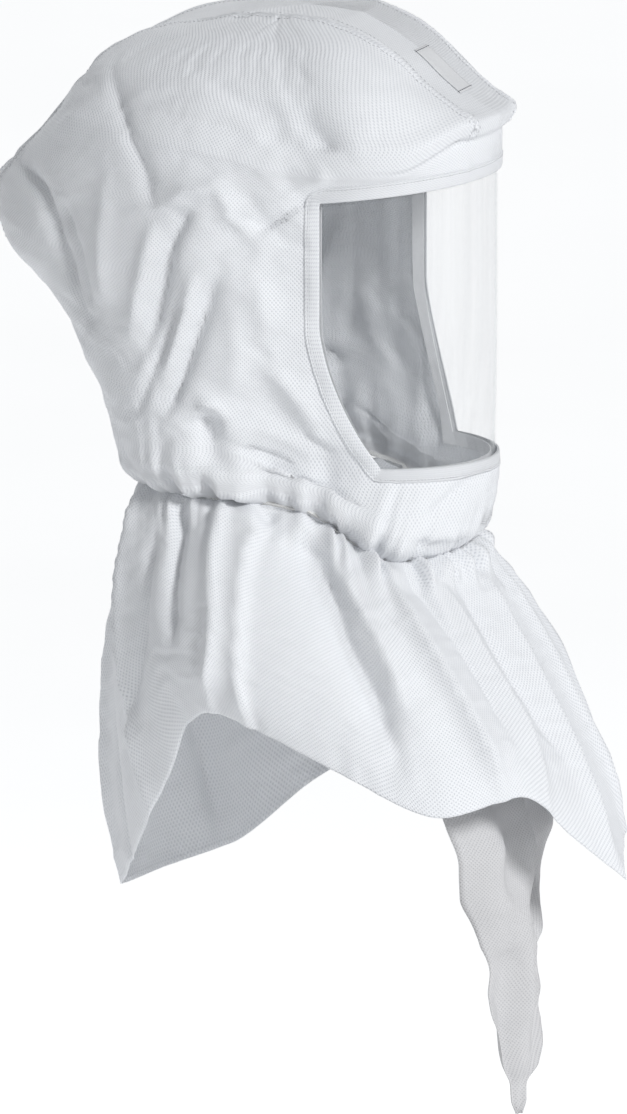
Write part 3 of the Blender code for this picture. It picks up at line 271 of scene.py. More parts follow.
def curve(keys, values, at):
    """Values read off a smooth curve through rows of a table, at any places between its keys."""
    keys, values, at = np.asarray(keys, float), np.asarray(values, float), np.asarray(at, float)
    slopes = gentle_slopes(keys, values)
    low = np.clip(np.searchsorted(keys, at, side="right") - 1, 0, len(keys) - 2)
    step = keys[low + 1] - keys[low]
    s = np.clip((at - keys[low]) / step, 0, 1)[..., None]
    step = step[..., None]
    rise = (2 * s**3 - 3 * s**2 + 1) * values[low] + (3 * s**2 - 2 * s**3) * values[low + 1]
    return rise + step * ((s**3 - 2 * s**2 + s) * slopes[low] + (s**3 - s**2) * slopes[low + 1])


def link(name, mesh):
    obj = bpy.data.objects.new(name, mesh)
    bpy.context.scene.collection.objects.link(obj)
    return obj


def grid_mesh(name, points, closed=False, skip=None, uv=None, cap=None):
    """A mesh from an array of points, rows by columns; the columns may close round a last point."""
    rows, cols = points.shape[:2]
    faces, corners = [], []
    for r in range(rows - 1):
        for c in range(cols if closed else cols - 1):
            if skip is not None and skip[r, c]:
                continue
            d = (c + 1) % cols
            faces.append((r * cols + c, r * cols + d, (r + 1) * cols + d, (r + 1) * cols + c))
            corners.append(((r, c), (r, c + 1), (r + 1, c + 1), (r + 1, c)))
    verts = points.reshape(-1, 3).tolist()
    if cap is not None:
        verts.append(list(cap))
        for c in range(cols):
            faces.append(((rows - 1) * cols + c, (rows - 1) * cols + (c + 1) % cols, rows * cols))
            corners.append(((rows - 1, c), (rows - 1, c + 1), (rows - 1, c)))
    mesh = bpy.data.meshes.new(name)
    mesh.from_pydata(verts, [], faces)
    if uv is not None:
        layer = mesh.uv_layers.new(name="cloth")
        flat = [uv[r, c] for quad in corners for r, c in quad]
        layer.data.foreach_set("uv", np.array(flat, np.float32).ravel())
    mesh.shade_smooth()
    return link(name, mesh)


def lengths(points, axis):
    """Distance travelled along one axis of an array of points."""
    steps = np.linalg.norm(np.diff(points, axis=axis), axis=-1)
    start = np.zeros_like(np.take(steps, [0], axis=axis))
    return np.concatenate([start, np.cumsum(steps, axis=axis)], axis=axis)


def unit(vectors):
    return vectors / np.maximum(np.linalg.norm(vectors, axis=-1, keepdims=True), 1e-9)


def outward_normals(grid):
    """Normals of a closed grid of points, pointing away from its axis."""
    around = np.roll(grid, -1, axis=1) - np.roll(grid, 1, axis=1)
    down = np.gradient(grid, axis=0)
    out = unit(np.cross(around, down))
    away = grid - WAIST
    away[..., 2] *= 0.3
    return out * np.sign(np.sum(out * away, axis=-1, keepdims=True))


def drop_loose(obj):
    bm = bmesh.new()
    bm.from_mesh(obj.data)
    bmesh.ops.delete(bm, geom=[v for v in bm.verts if not v.link_faces], context="VERTS")
    bmesh.ops.recalc_face_normals(bm, faces=bm.faces)
    bm.to_mesh(obj.data)
    bm.free()


def face_outward(obj):
    """Turns an open skin's faces so that most of them look away from the middle of the hood."""
    bm = bmesh.new()
    bm.from_mesh(obj.data)
    middle = Vector(WAIST)
    total = sum((f.calc_center_median() - middle).dot(f.normal) * f.calc_area() for f in bm.faces)
    if total < 0:
        bmesh.ops.reverse_faces(bm, faces=bm.faces)
    bm.to_mesh(obj.data)
    bm.free()


def apply(obj):
    """Makes an object's modifiers part of its mesh."""
    graph = bpy.context.evaluated_depsgraph_get()
    made = bpy.data.meshes.new_from_object(obj.evaluated_get(graph))
    obj.modifiers.clear()
    obj.data = made


def thicken(obj, thickness, offset=-1.0):
    solid = obj.modifiers.new("thickness", "SOLIDIFY")
    solid.thickness = thickness
    solid.offset = offset
    apply(obj)


def surface_tree(obj):
    """A mesh's surface to lay other pieces on."""
    bm = bmesh.new()
    bm.from_mesh(obj.data)
    tree = BVHTree.FromBMesh(bm)
    bm.free()
    return tree


def laid_on(tree, points, above):
    """Points moved onto a surface and a given height over it, with the surface's normals there."""
    placed, ups = [], []
    for p in points:
        spot, up, _, _ = tree.find_nearest(Vector(p))
        placed.append(spot + up * above)
        ups.append(up)
    return np.array(placed), np.array(ups)


# ---------------------------------------------------------------- folds and crumples


def spline(line, per_point=5):
    line = np.asarray(line, float)
    return curve(np.arange(len(line)), line, np.linspace(0, len(line) - 1, per_point * len(line)))


def nearest(points, line):
    """Each point's distance and offset from a line, the line's run there and how far along it that is."""
    best = np.full(len(points), 1e9)
    offset, run_there = np.zeros_like(points), np.zeros_like(points)
    along = np.zeros(len(points))
    for k in range(len(line) - 1):
        run = line[k + 1] - line[k]
        t = np.clip((points - line[k]) @ run / max(run @ run, 1e-12), 0, 1)
        off = points - line[k] - t[:, None] * run
        far = np.linalg.norm(off, axis=1)
        near = far < best
        best = np.where(near, far, best)
        offset[near], run_there[near] = off[near], run
        along = np.where(near, (k + t) / (len(line) - 1), along)
    return best, offset, run_there, along


def fold_field(grid, outward, folds):
    """How far a list of folds moves each point of a grid along its normal, in metres."""
    points, ups = grid.reshape(-1, 3), outward.reshape(-1, 3)
    total = np.zeros(len(points))
    for height, left, right, line in folds:
        far, offset, run, along = nearest(points, spline(line) * MM)
        side = np.sum(np.cross(run, offset) * ups, axis=1)
        width = np.where(side > 0, left, right) * MM
        taper = mix(0.2, 1.0, smooth(along / 0.2) * smooth((1 - along) / 0.2))
        total += FOLD_GAIN * height * MM * taper * np.exp(-((far / width) ** FOLD_SHARPNESS))
    return total.reshape(grid.shape[:2])


def mirrored(folds, shift=(0, 6, -7), softer=0.75):
    """The same folds on the wearer's left, softer and moved a little."""
    moved = []
    for height, left, right, line in folds:
        points = [(-x + shift[0], y + shift[1], z + shift[2]) for x, y, z in line]
        moved.append((height * softer, right, left, points))
    return moved


def facets(across, down, period, spacing, seed):
    """Heights from -1 to 1, flat between scattered points like crumpled sheet; it repeats at the period."""
    rng = np.random.default_rng(seed)
    low, high = down.min() - 2 * spacing, down.max() + 2 * spacing
    columns = max(int(period / spacing), 3)
    lines = int((high - low) / spacing) + 1
    x, y = np.meshgrid(np.arange(columns) * period / columns, low + np.arange(lines + 1) * spacing)
    x = (x + rng.uniform(-0.48, 0.48, x.shape) * spacing).ravel()
    y = (y + rng.uniform(-0.48, 0.48, y.shape) * spacing).ravel()
    h = rng.uniform(-1, 1, x.shape)
    x, y, h = np.concatenate([x - period, x, x + period]), np.tile(y, 3), np.tile(h, 3)
    made = geometry.delaunay_2d_cdt([Vector(p) for p in zip(x, y)], [], [], 0, 1e-7)
    verts = [(p.x, p.y, h[source[0]]) for p, source in zip(made[0], made[3])]
    tree = BVHTree.FromPolygons(verts, made[2])
    out = []
    for a, b in zip((across % period).ravel(), down.ravel()):
        spot = tree.ray_cast(Vector((a, b, 3.0)), Vector((0, 0, -1)))[0]
        out.append(spot.z if spot else 0.0)
    return np.array(out).reshape(across.shape)


def gather(station, seed):
    """Waves round the neck, as cloth drawn in by an elastic has."""
    rng = np.random.default_rng(seed)
    total = 0
    for count, size in ((17, 0.8), (29, 1.0), (43, 0.9), (61, 0.7), (83, 0.45)):
        total = total + size * np.sin(2 * np.pi * count * station / (2 * REAR) + rng.uniform(0, 2 * np.pi))
    return total / 1.9


def finer(coarse):
    """A grid with a row and column put between each two, on smooth curves through them."""
    def between(a, b, c, d):
        return (9 * (b + c) - a - d) / 16

    cols = between(np.roll(coarse, 1, 1), coarse, np.roll(coarse, -1, 1), np.roll(coarse, -2, 1))
    wide = np.empty((coarse.shape[0], 2 * coarse.shape[1]) + coarse.shape[2:])
    wide[:, ::2], wide[:, 1::2] = coarse, cols
    padded = np.concatenate([wide[:1], wide, wide[-1:]])
    tall = np.empty((2 * wide.shape[0] - 1,) + wide.shape[1:])
    tall[::2], tall[1::2] = wide, between(padded[:-3], padded[1:-2], padded[2:-1], padded[3:])
    return tall


def settle(grid, hold, skip, frames, growth):
    """How far each point moves when the cloth is a little too large and settles; hold is 1 where it can't."""
    rows, cols = grid.shape[:2]
    obj = grid_mesh("settling", grid, closed=True, skip=skip)
    pins = obj.vertex_groups.new(name="pins")
    for n, weight in enumerate(hold.ravel()):
        pins.add([n], float(weight), "REPLACE")
    cloth = obj.modifiers.new("cloth", "CLOTH")
    s = cloth.settings
    s.quality, s.mass, s.air_damping = 5, 0.05, 4.0
    s.tension_stiffness = s.compression_stiffness = 18
    s.shear_stiffness = 6
    s.bending_stiffness = 9.0
    s.vertex_group_mass = "pins"
    s.pin_stiffness = 0.8
    s.shrink_min = s.shrink_max = -growth
    cloth.collision_settings.use_collision = False
    cloth.point_cache.frame_start, cloth.point_cache.frame_end = 1, frames
    scene = bpy.context.scene
    for frame_number in range(1, frames + 1):
        scene.frame_set(frame_number)
    graph = bpy.context.evaluated_depsgraph_get()
    made = obj.evaluated_get(graph).to_mesh()
    moved = np.empty(rows * cols * 3)
    made.vertices.foreach_get("co", moved)
    scene.frame_set(1)
    bpy.data.objects.remove(obj)
    return moved.reshape(grid.shape) - grid


# ---------------------------------------------------------------- visor and hood surfaces


def lens_axes(z):
    t = np.maximum(0.0, (LENS_TAPER_TOP - z) / LENS_TAPER_HEIGHT)
    return LENS_HALF_WIDTH - LENS_DRAW_IN * t * t, LENS_REACH + 0.0013 * t * t


def lens_point(angle, z, outward=0.0):
    """Points on the lens at angles from the front, in degrees; past the ellipse it runs straight back."""
    a, b = lens_axes(z)
    turn = np.radians(np.clip(angle, -90.0, 90.0))
    past = np.maximum(0.0, np.abs(angle) - 90.0) * math.radians(1) * a
    x = -(a + outward) * np.sin(turn)
    y = LENS_CENTRE_Y - (b + outward) * np.cos(turn) + past
    return np.stack(np.broadcast_arrays(x, y, z), axis=-1)


def window_half_angle(z):
    """How far round the window reaches at a height, in degrees."""
    t = np.clip((LENS_TAPER_TOP - z) / (LENS_TAPER_TOP - WINDOW_BOTTOM), 0.0, 1.0)
    return mix(90.0, WINDOW_BOTTOM_ANGLE, t**1.5)


def window_top(share):
    return mix(WINDOW_TOP_FRONT, WINDOW_TOP_SIDE, share * share)


def level_table():
    """The levels in metres, with the lens's own line filled in."""
    rows = []
    for level in LEVELS:
        row = [None if v is None else v * MM for v in level]
        if row[3] is None:
            half, reach = lens_axes(row[0])
            row[3] = row[5] - reach - FABRIC - LENS_CLEARANCE
            row[4] = half + FABRIC + LENS_CLEARANCE
        rows.append(row[:9] + [level[9], level[10]])
    return np.array(rows, float)


HOOD_TABLE = level_table()


def hood_points(station, z):
    """Points of the hood's skin: stations from 0 in front to 20 behind, negative on the left; z in front."""
    side_z, back_z, front_y, corner, corner_y, widest_y, half, back_y, square, full = np.moveaxis(
        curve(HOOD_TABLE[:, 0], HOOD_TABLE[:, 1:], z), -1, 0)
    s = np.abs(station)
    turn = np.pi / 2 * np.clip(s / CORNER, 0, 1)
    x = corner * np.sin(turn) ** (2 / square)
    y = corner_y + (front_y - corner_y) * np.maximum(np.cos(turn), 0) ** (2 / square)
    t = np.clip((s - CORNER) / (WIDEST - CORNER), 0, 1)
    side = s > CORNER
    bulge = mix(smooth(t), t * (2 - t), 0.5 * smooth((0.030 - z) / 0.030))
    x = np.where(side, corner + (half - corner) * bulge, x)
    y = np.where(side, corner_y + (widest_y - corner_y) * t, y)
    narrow = np.minimum(STRIP_HALF_WIDTH + 0.004, half * 0.8)
    turn = np.pi / 2 * np.clip((s - WIDEST) / (STRIP - WIDEST), 0, 1)
    rear = s > WIDEST
    x = np.where(rear, narrow + (half - narrow) * np.maximum(np.cos(turn), 0) ** full, x)
    y = np.where(rear, widest_y + (back_y - widest_y) * np.sin(turn) ** full, y)
    x = np.where(s > STRIP, narrow * (REAR - s) / (REAR - STRIP), x)
    first = mix(4.0, 8.0, smooth((z + 0.200) / 0.030))
    height = mix(z, side_z, smooth((s - first) / (10.5 - first)))
    height = mix(height, back_z, smooth((s - 10) / 7))
    round_the_side = smooth((s - 1.9) / 3.2)
    before_the_ear = smooth((12 - s) / 4)
    at_the_brim = smooth(1 - np.abs(z - 0.049) / 0.031)
    height = height - BRIM_DROOP * round_the_side * before_the_ear * at_the_brim
    return np.stack([-x * np.sign(np.where(station == 0, 1, station)), y, height], axis=-1)


def edge_station(z):
    """The station of the window's side edge at a height; below and above the window it runs on."""
    return CORNER * window_half_angle(np.clip(z, WINDOW_BOTTOM, None)) / 90.0


# Columns of half the hood: in front, beside the window, in the rear quarter and on the rear strip
FRONT_COLUMNS, SIDE_COLUMNS, REAR_COLUMNS, STRIP_COLUMNS = 44, 28, 60, 12


def column_stations(z):
    """Stations of one half's columns at a height, from the front middle to the back middle."""
    edge = float(edge_station(z))
    stops = ((0, edge, FRONT_COLUMNS), (edge, WIDEST, SIDE_COLUMNS), (WIDEST, STRIP, REAR_COLUMNS),
             (STRIP, REAR, STRIP_COLUMNS))
    parts = []
    for first, last, count in stops:
        dense = np.linspace(first, last, 160)
        arc = lengths(hood_points(dense, np.full(160, z)), 0)
        parts.append(np.interp(np.linspace(0, arc[-1], count, endpoint=False), arc, dense))
    return np.concatenate(parts + [[REAR]])


def hood_rows():
    """Heights of the hood's rows in front, with the window's bottom and top edges among them."""
    below = np.linspace(-0.222, WINDOW_BOTTOM, 23)[:-1]
    window = np.linspace(WINDOW_BOTTOM, WINDOW_TOP_FRONT, 65)
    brim = np.linspace(WINDOW_TOP_FRONT, 0.066, 27)[1:]
    crown = np.linspace(0.066, HOOD_TOP, 24)[1:]
    return np.concatenate([below, window, brim, crown]), len(below), len(below) + len(window) - 1


def hood_grid():
    """Points over the whole hood, closed round it, their stations, and the rows of the window's edges."""
    heights, bottom_row, top_row = hood_rows()
    rows, places = [], []
    for z in heights:
        half = column_stations(z)
        stations = np.concatenate([half, -half[-2:0:-1]])
        share = np.clip(np.abs(stations) / CORNER, 0, 1)
        drop = (WINDOW_TOP_FRONT - window_top(share)) * smooth(1 - np.abs(z - WINDOW_TOP_FRONT) / 0.03)
        rows.append(hood_points(stations, z - drop))
        places.append(stations)
    last = rows[-1]
    for q in np.linspace(0, 1, 17)[1:-1]:
        ring = mix(last, CROWN_CAP, q)
        ring[:, 2] = mix(last[:, 2], CROWN_CAP[2], 1 - (1 - q) ** 2)
        rows.append(ring)
        places.append(places[-1])
    return np.array(rows), np.array(places), bottom_row, top_row


def cloth_uv(grid, straight, level=None):
    """Cloth coordinates in metres: round from the front, by row or by one level, and along a column."""
    looped = np.concatenate([grid, grid[:, :1]], axis=1)
    if level is not None:
        looped = np.broadcast_to(looped[level], looped.shape)
    half = looped.shape[1] // 2
    around = lengths(looped[:, : half + 1], 1)
    u = np.concatenate([around, 2 * around[:, -1:] - around[:, -2::-1]], axis=1)
    along = lengths(grid, 0)[:, straight]
    return np.stack(np.broadcast_arrays(u, along[:, None]), axis=-1)


def window_edge():
    """The window's edge as lines of points: up the right, over the top, down the left, along the bottom."""
    heights = np.linspace(WINDOW_BOTTOM, WINDOW_TOP_SIDE, 60)
    side = hood_points(edge_station(heights), heights)
    shares = np.linspace(1, -1, 90)
    top = hood_points(CORNER * shares, window_top(np.abs(shares)))
    low = hood_points(edge_station(WINDOW_BOTTOM) * shares, np.full(90, WINDOW_BOTTOM))
    flip = np.array((-1, 1, 1))
    return side, top, (side * flip)[::-1], low[::-1]


def inlet():
    """Centre of the hose inlet's ring on the back."""
    low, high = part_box("inlet_clamp_ring")
    return np.array((low + high) / 2)


def hood_clearance(grid):
    """How far inward the cloth may go: little over the lens's edge, the frame, the duct and the neck cord."""
    x, y, z = np.abs(grid[..., 0]), grid[..., 1], grid[..., 2]
    free = np.full(x.shape, 0.009)
    frame_zone = (z > 0.018) & (z < 0.0425) & (y < -0.045)
    duct_zone = (x < 0.040) & (z > -0.075) & ((y > -0.02) | (z > 0.05))
    crown_zone = z > 0.094
    free = np.where(frame_zone, 0.0008, free)
    free = np.where(duct_zone, mix(0.0005, 0.006, smooth((x - 0.030) / 0.012)), free)
    free = np.where(crown_zone, np.minimum(free, 0.003), free)
    from_neck = lengths(grid, 0)
    return np.minimum(free, mix(0.0012, 0.009, smooth(from_neck / 0.012)))


def build_hood():
    """The hood's cloth: one thickness of sheet with its folds, and what later pieces need to lie on it."""
    grid, stations, bottom_row, top_row = hood_grid()
    rows, cols = grid.shape[:2]
    ups = outward_normals(grid)
    edge = np.concatenate(window_edge())
    flat = grid.reshape(-1, 3)
    from_edge = nearest(flat, edge)[0].reshape(rows, cols)
    from_inlet = np.linalg.norm(grid - inlet(), axis=-1)
    calm = smooth((from_edge - 0.001) / 0.011) * smooth((from_inlet - 0.026) / 0.022)
    from_neck = lengths(grid, 0)
    folds = fold_field(grid, ups, FOLDS + mirrored(FOLDS)) * calm
    seams = fold_field(grid, ups, SEAMS + mirrored(SEAMS, (0, 0, 0), 1.0))
    across, down = stations * HOOD_METRES_PER_STATION, from_neck
    period = 2 * REAR * HOOD_METRES_PER_STATION
    quiet = mix(0.35, 1.0, smooth((np.abs(stations) - 5) / 4))
    quiet = quiet * mix(1.0, 0.45, smooth((grid[..., 2] - 0.05) / 0.03))
    crumple = 2.9 * facets(across, down, period, 0.034, SEED)
    crumple = crumple + 1.8 * facets(across, down, period, 0.017, SEED + 1)
    drawn = mix(0.35, 1.0, smooth((np.abs(stations) - 2.5) / 4))
    near_neck = np.exp(-((from_neck - 0.007) / 0.016) ** 2)
    near_neck = near_neck + 0.45 * np.exp(-((from_neck - 0.026) / 0.022) ** 2)
    pinch = gather(stations * 0.5 + 3, SEED + 7)
    puff = (3.4 + 2.2 * gather(stations, SEED + 5) + 2.6 * pinch) * MM
    puff = puff * np.exp(-((from_neck - 0.012) / 0.009) ** 2) * drawn
    puff *= mix(1.0, 0.25, smooth((np.abs(stations) - 10) / 4))
    waves = 2.3 * MM * gather(stations + 6 * from_neck, SEED) * near_neck * drawn + puff
    start = grid + ups * (folds + waves * calm)[..., None]
    window = np.zeros((rows, cols), bool)
    window[bottom_row:top_row, :FRONT_COLUMNS] = True
    window[bottom_row:top_row, cols - FRONT_COLUMNS:] = True
    hold = mix(0.45, 1.0, 1 - smooth((from_edge - 0.003) / 0.012))
    hold = np.maximum(hold, 1 - smooth((from_inlet - 0.028) / 0.015))
    hold[0] = hold[1] = 1.0
    skip = window[::2, ::2]
    moved = finer(settle(start[::2, ::2], hold[::2, ::2], skip, *HOOD_SETTLING)) * calm[..., None]
    crown = smooth(np.linalg.norm(grid - CROWN_CAP, axis=-1) / 0.045)[..., None]
    total = (start + moved + ups * (seams + crumple * MM * quiet * calm)[..., None] - grid) * crown
    inward = np.sum(total * ups, axis=-1)
    total += ups * (np.maximum(inward, -hood_clearance(grid)) - inward)[..., None]
    final = grid + total
    hole = from_inlet < 0.0195
    skip = window | (hole & np.roll(hole, -1, 1) & np.roll(hole, -1, 0))
    obj = grid_mesh("hood_fabric", final, True, skip, cloth_uv(final, FRONT_COLUMNS + SIDE_COLUMNS),
                    cap=final[-1].mean(axis=0))
    drop_loose(obj)
    face_outward(obj)
    return obj


# ---------------------------------------------------------------- shroud


def neck_points(station):
    return hood_points(station, np.full(np.shape(station), HOOD_TABLE[0, 0]))


def hem_points(station):
    right = curve([r[0] for r in HEM_RIGHT], [r[1:] for r in HEM_RIGHT], np.maximum(station, 0))
    left = curve([r[0] for r in HEM_LEFT], [r[1:] for r in HEM_LEFT], np.maximum(-station, 0))
    return np.where((station >= 0)[..., None], right, left) * MM


def shroud_points(station, v):
    """Points of the shroud, v down from the neck to the hem, which swells out between them."""
    p = mix(neck_points(station), hem_points(station), v[..., None])
    away = p - WAIST
    away[..., 2] = 0
    away /= np.linalg.norm(away, axis=-1, keepdims=True)
    swell = mix(0.012, 0.022, smooth(np.abs(station) / REAR))
    lift = swell * np.sin(np.pi * np.clip(v, 0, 1)) ** 0.8
    return p + away * lift[..., None]


SHROUD_HALF_COLUMNS, SHROUD_ROWS = 152, 107


def build_shroud():
    half = np.linspace(0, REAR, SHROUD_HALF_COLUMNS + 1)
    stations, downs = np.meshgrid(np.concatenate([half, -half[-2:0:-1]]), np.linspace(0, 1, SHROUD_ROWS))
    grid = shroud_points(stations, downs)
    ups = outward_normals(grid)
    lines = []
    for height, left, right, line in SHROUD_FOLDS:
        places = spline(line, 3)
        lines.append((height, left, right, shroud_points(places[:, 0], places[:, 1]) / MM))
    length = lengths(grid, 0)
    folds = fold_field(grid, ups, lines)
    near_neck = np.exp(-((length - 0.006) / 0.014) ** 2)
    near_neck = near_neck + 0.3 * np.exp(-((length - 0.024) / 0.024) ** 2)
    puff = (2.8 + 2.2 * gather(stations, SEED + 6) + 1.8 * gather(stations * 0.5 + 5, SEED + 8)) * MM
    puff = puff * np.exp(-((length - 0.011) / 0.009) ** 2)
    puff *= mix(1.0, 0.25, smooth((np.abs(stations) - 10) / 4))
    waves = 2.4 * MM * gather(stations - 5 * length, SEED) * near_neck + puff
    period = 2 * REAR * SHROUD_METRES_PER_STATION
    across = stations * SHROUD_METRES_PER_STATION
    crumple = 1.5 * facets(across, length, period, 0.045, SEED + 2)
    crumple += 0.7 * facets(across, length, period, 0.02, SEED + 3)
    from_seam = smooth(length / 0.014)
    start = grid + ups * (folds * mix(0.25, 1, from_seam) + waves)[..., None]
    hold = np.full(grid.shape[:2], 0.42)
    hold[0] = hold[1] = 1.0
    moved = finer(settle(start[::2, ::2], hold[::2, ::2], None, *SHROUD_SETTLING)) * from_seam[..., None]
    total = start + moved + ups * (crumple * MM * from_seam)[..., None] - grid
    inward = np.sum(total * ups, axis=-1)
    limit = mix(0.0012, 0.012, from_seam)
    total += ups * (np.maximum(inward, -limit) - inward)[..., None]
    final = grid + total
    obj = grid_mesh("shroud_fabric", final, True, None, cloth_uv(final, SHROUD_HALF_COLUMNS // 4, 62))
    drop_loose(obj)
    face_outward(obj)
    return obj


# ---------------------------------------------------------------- flap, visor and sewn pieces


def build_flap():
    """The flap that hangs inside the shroud in front, narrowed to a point, with long folds down it."""
    down = np.linspace(FLAP[0][0], FLAP[-1][0], 150)
    order = np.array(FLAP[::-1], float)
    half, middle, curl = curve(order[:, 0], order[:, 1:], down).T
    u, z = np.meshgrid(np.linspace(-1, 1, 41), down)
    half, middle, curl = half[:, None], middle[:, None], curl[:, None]
    lower = smooth((-z - 300) / 120)
    wave = 5.0 * np.sin(4.2 * u + 1.1 + z / 60) + 3.2 * np.sin(8.3 * u - 0.4 - z / 38)
    wave += 2.2 * np.sin(z / 17 + 2.4 * u) * np.abs(u) + 1.6 * np.sin(z / 9.5 - 3.6 * u)
    wave += 4.0 * np.abs(np.sin(2.6 * u + z / 90)) - 2.0
    wave *= (0.5 + 0.5 * lower) * np.clip(half / 40, 0.25, 1)
    y = middle + curl * u * u + wave
    fold = 10 * np.exp(-np.abs((u - 0.18 - 0.1 * np.sin(z / 45)) / 0.16) ** 1.2)
    fold = fold * lower * np.clip(half / 35, 0, 1)
    grid = np.stack([half * u + 1.5 * np.sin(z / 21), y - fold, z], axis=-1) * MM
    crumple = facets(grid[..., 0] + 0.3, -grid[..., 2], 1.0, 0.016, SEED + 4)
    grid[..., 1] += 1.3 * MM * crumple * np.clip(half / 30, 0.2, 1)
    obj = grid_mesh("inner_flap", grid, uv=cloth_uv_open(grid))
    face_outward(obj)
    return obj


def cloth_uv_open(grid):
    """Cloth coordinates of a grid whose columns don't close."""
    across, along = lengths(grid, 1), lengths(grid, 0)[:, grid.shape[1] // 2]
    return np.stack(np.broadcast_arrays(across, along[:, None]), axis=-1)


def build_visor():
    """The clear sheet, with its rows and columns close enough to bend smoothly."""
    rows = []
    for t in np.linspace(0, 1, 40):
        share = np.linspace(-1, 1, 91)
        top = window_top(share) + LENS_MARGIN
        z = mix(WINDOW_BOTTOM - LENS_MARGIN, top, t)
        margin = math.degrees(LENS_MARGIN / LENS_HALF_WIDTH)
        rows.append(lens_point(share * (window_half_angle(z) + margin), z, 0.0))
    grid = np.array(rows)
    obj = grid_mesh("visor_film", grid, uv=cloth_uv_open(grid))
    face_outward(obj)
    thicken(obj, LENS_THICK)
    return obj


def line_runs(line):
    return unit(np.gradient(line, axis=0))


def even(line, step):
    """Points a step apart along a line."""
    far = np.concatenate([[0], np.cumsum(np.linalg.norm(np.diff(line, axis=0), axis=1))])
    at = np.linspace(0, far[-1], max(int(far[-1] / step), 2) + 1)
    return np.stack([np.interp(at, far, line[:, k]) for k in range(3)], axis=-1)


def stitches(name, lines, length=0.0022, wide=0.00045, high=0.00032):
    """Short raised threads along lines of (points, ups), as one mesh."""
    verts, faces = [], []
    for spots, ups in lines:
        runs = line_runs(spots)
        for p, up, run in zip(spots, ups, runs):
            side = np.cross(run, up)
            n = len(verts)
            for along in (-0.34, 0.34):
                for a, b in ((-1, 0), (-0.6, 1), (0.6, 1), (1, 0)):
                    verts.append(p + run * along * length + side * a * wide / 2 + up * b * high)
            verts += [p - run * length / 2 - up * high, p + run * length / 2 - up * high]
            faces += [(n + k, n + k + 1, n + k + 5, n + k + 4) for k in range(3)]
            faces += [(n + 3, n, n + 4, n + 7)]
            faces += [(n + (k + 1) % 4, n + k, n + 8) for k in range(4)]
            faces += [(n + 4 + k, n + 4 + (k + 1) % 4, n + 9) for k in range(4)]
    mesh = bpy.data.meshes.new(name)
    mesh.from_pydata([tuple(v) for v in verts], [], faces)
    mesh.shade_smooth()
    return link(name, mesh)


def build_window_hem(tree):
    """The folded cloth border round the window, and the line that its stitches follow."""
    edge = np.concatenate([line[:-1] for line in window_edge()])
    edge = even(np.concatenate([edge, edge[:1]]), 0.0022)[:-1]
    centre = edge.mean(axis=0)
    runs = unit(np.roll(edge, -1, axis=0) - np.roll(edge, 1, axis=0))
    _, ups = laid_on(tree, edge, 0)
    away = unit(np.cross(runs, ups))
    outer = np.sum(away * (edge - centre), axis=1)
    away *= np.sign(np.median(outer))
    smooth_away = away
    for _ in range(3):
        smooth_away = unit(smooth_away + 0.5 * (np.roll(smooth_away, 1, 0) + np.roll(smooth_away, -1, 0)))
    profile = ((-0.0002, -0.0010), (-0.0002, 0.0003), (0.0006, 0.0006), (0.0040, 0.0007), (0.0064, 0.00075),
               (0.0072, 0.0004), (0.0080, 0.0008), (0.0090, 0.00075), (0.0095, -0.0006))
    rows = []
    for across, above in profile:
        spots, _ = laid_on(tree, edge + smooth_away * max(across, 0.0), above)
        if across < 0:
            spots = spots + smooth_away * across
        rows.append(spots)
    grid = np.array(rows)
    uv = cloth_uv(grid, 0)
    obj = grid_mesh("window_hem", grid, closed=True, uv=uv)
    face_outward(obj)
    stitch_spots, stitch_ups = laid_on(tree, edge + smooth_away * 0.0072, 0.0005)
    return obj, (stitch_spots, stitch_ups)


def build_welt(tree, line, side, name):
    """The rolled ridge of a seam, laid along its line on the cloth."""
    points = even(spline([(side * x, y, z) for x, y, z in line]) * MM, 0.002)
    rows = []
    _, ups = laid_on(tree, points, 0)
    across = unit(np.cross(line_runs(points), ups))
    for a, b in ((-2.6, -0.5), (-1.5, 0.15), (-0.8, 0.75), (-0.1, 1.0), (0.6, 0.7), (1.3, 0.15), (2.4, -0.5)):
        rows.append(laid_on(tree, points + across * a * MM, b * MM)[0])
    grid = np.array(rows)
    obj = grid_mesh(name, grid, uv=cloth_uv_open(grid))
    face_outward(obj)
    return obj


def seam_line(tree, line, shift, side=1):
    """Stitches beside a ridge seam of the table, on the finished cloth."""
    points = spline([(side * x, y, z) for x, y, z in line]) * MM
    points = even(points, STITCH_PITCH)
    _, ups = laid_on(tree, points, 0)
    runs = line_runs(points)
    return laid_on(tree, points + np.cross(runs, ups) * shift, 0.0001)


def build_label(tree):
    """The blank label on the crown's front slope, sewn down at its short ends."""
    middle, half_long, half_wide = LABEL_MIDDLE, LABEL_LENGTH / 2, LABEL_WIDTH / 2
    along = unit(np.array((0.0, LABEL_SLOPE[0], LABEL_SLOPE[1])))
    side = np.array((1.0, 0.0, 0.0))
    a, b = np.meshgrid(np.linspace(-half_wide, half_wide, 18), np.linspace(-half_long, half_long, 32))
    points = middle + a[..., None] * side + b[..., None] * along
    spots, _ = laid_on(tree, points.reshape(-1, 3), 0.0006)
    grid = spots.reshape(points.shape)
    obj = grid_mesh("sewn_label", grid, uv=cloth_uv_open(grid))
    face_outward(obj)
    thicken(obj, 0.0004, 0.0)
    lines = []
    for end in (-1, 1):
        at_end = along * end * (half_long - 0.0016)
        line = even(np.array([middle + side * half_wide * k + at_end for k in (-1, 1)]), 0.0024)
        lines.append(laid_on(tree, line, 0.0009))
    return obj, lines


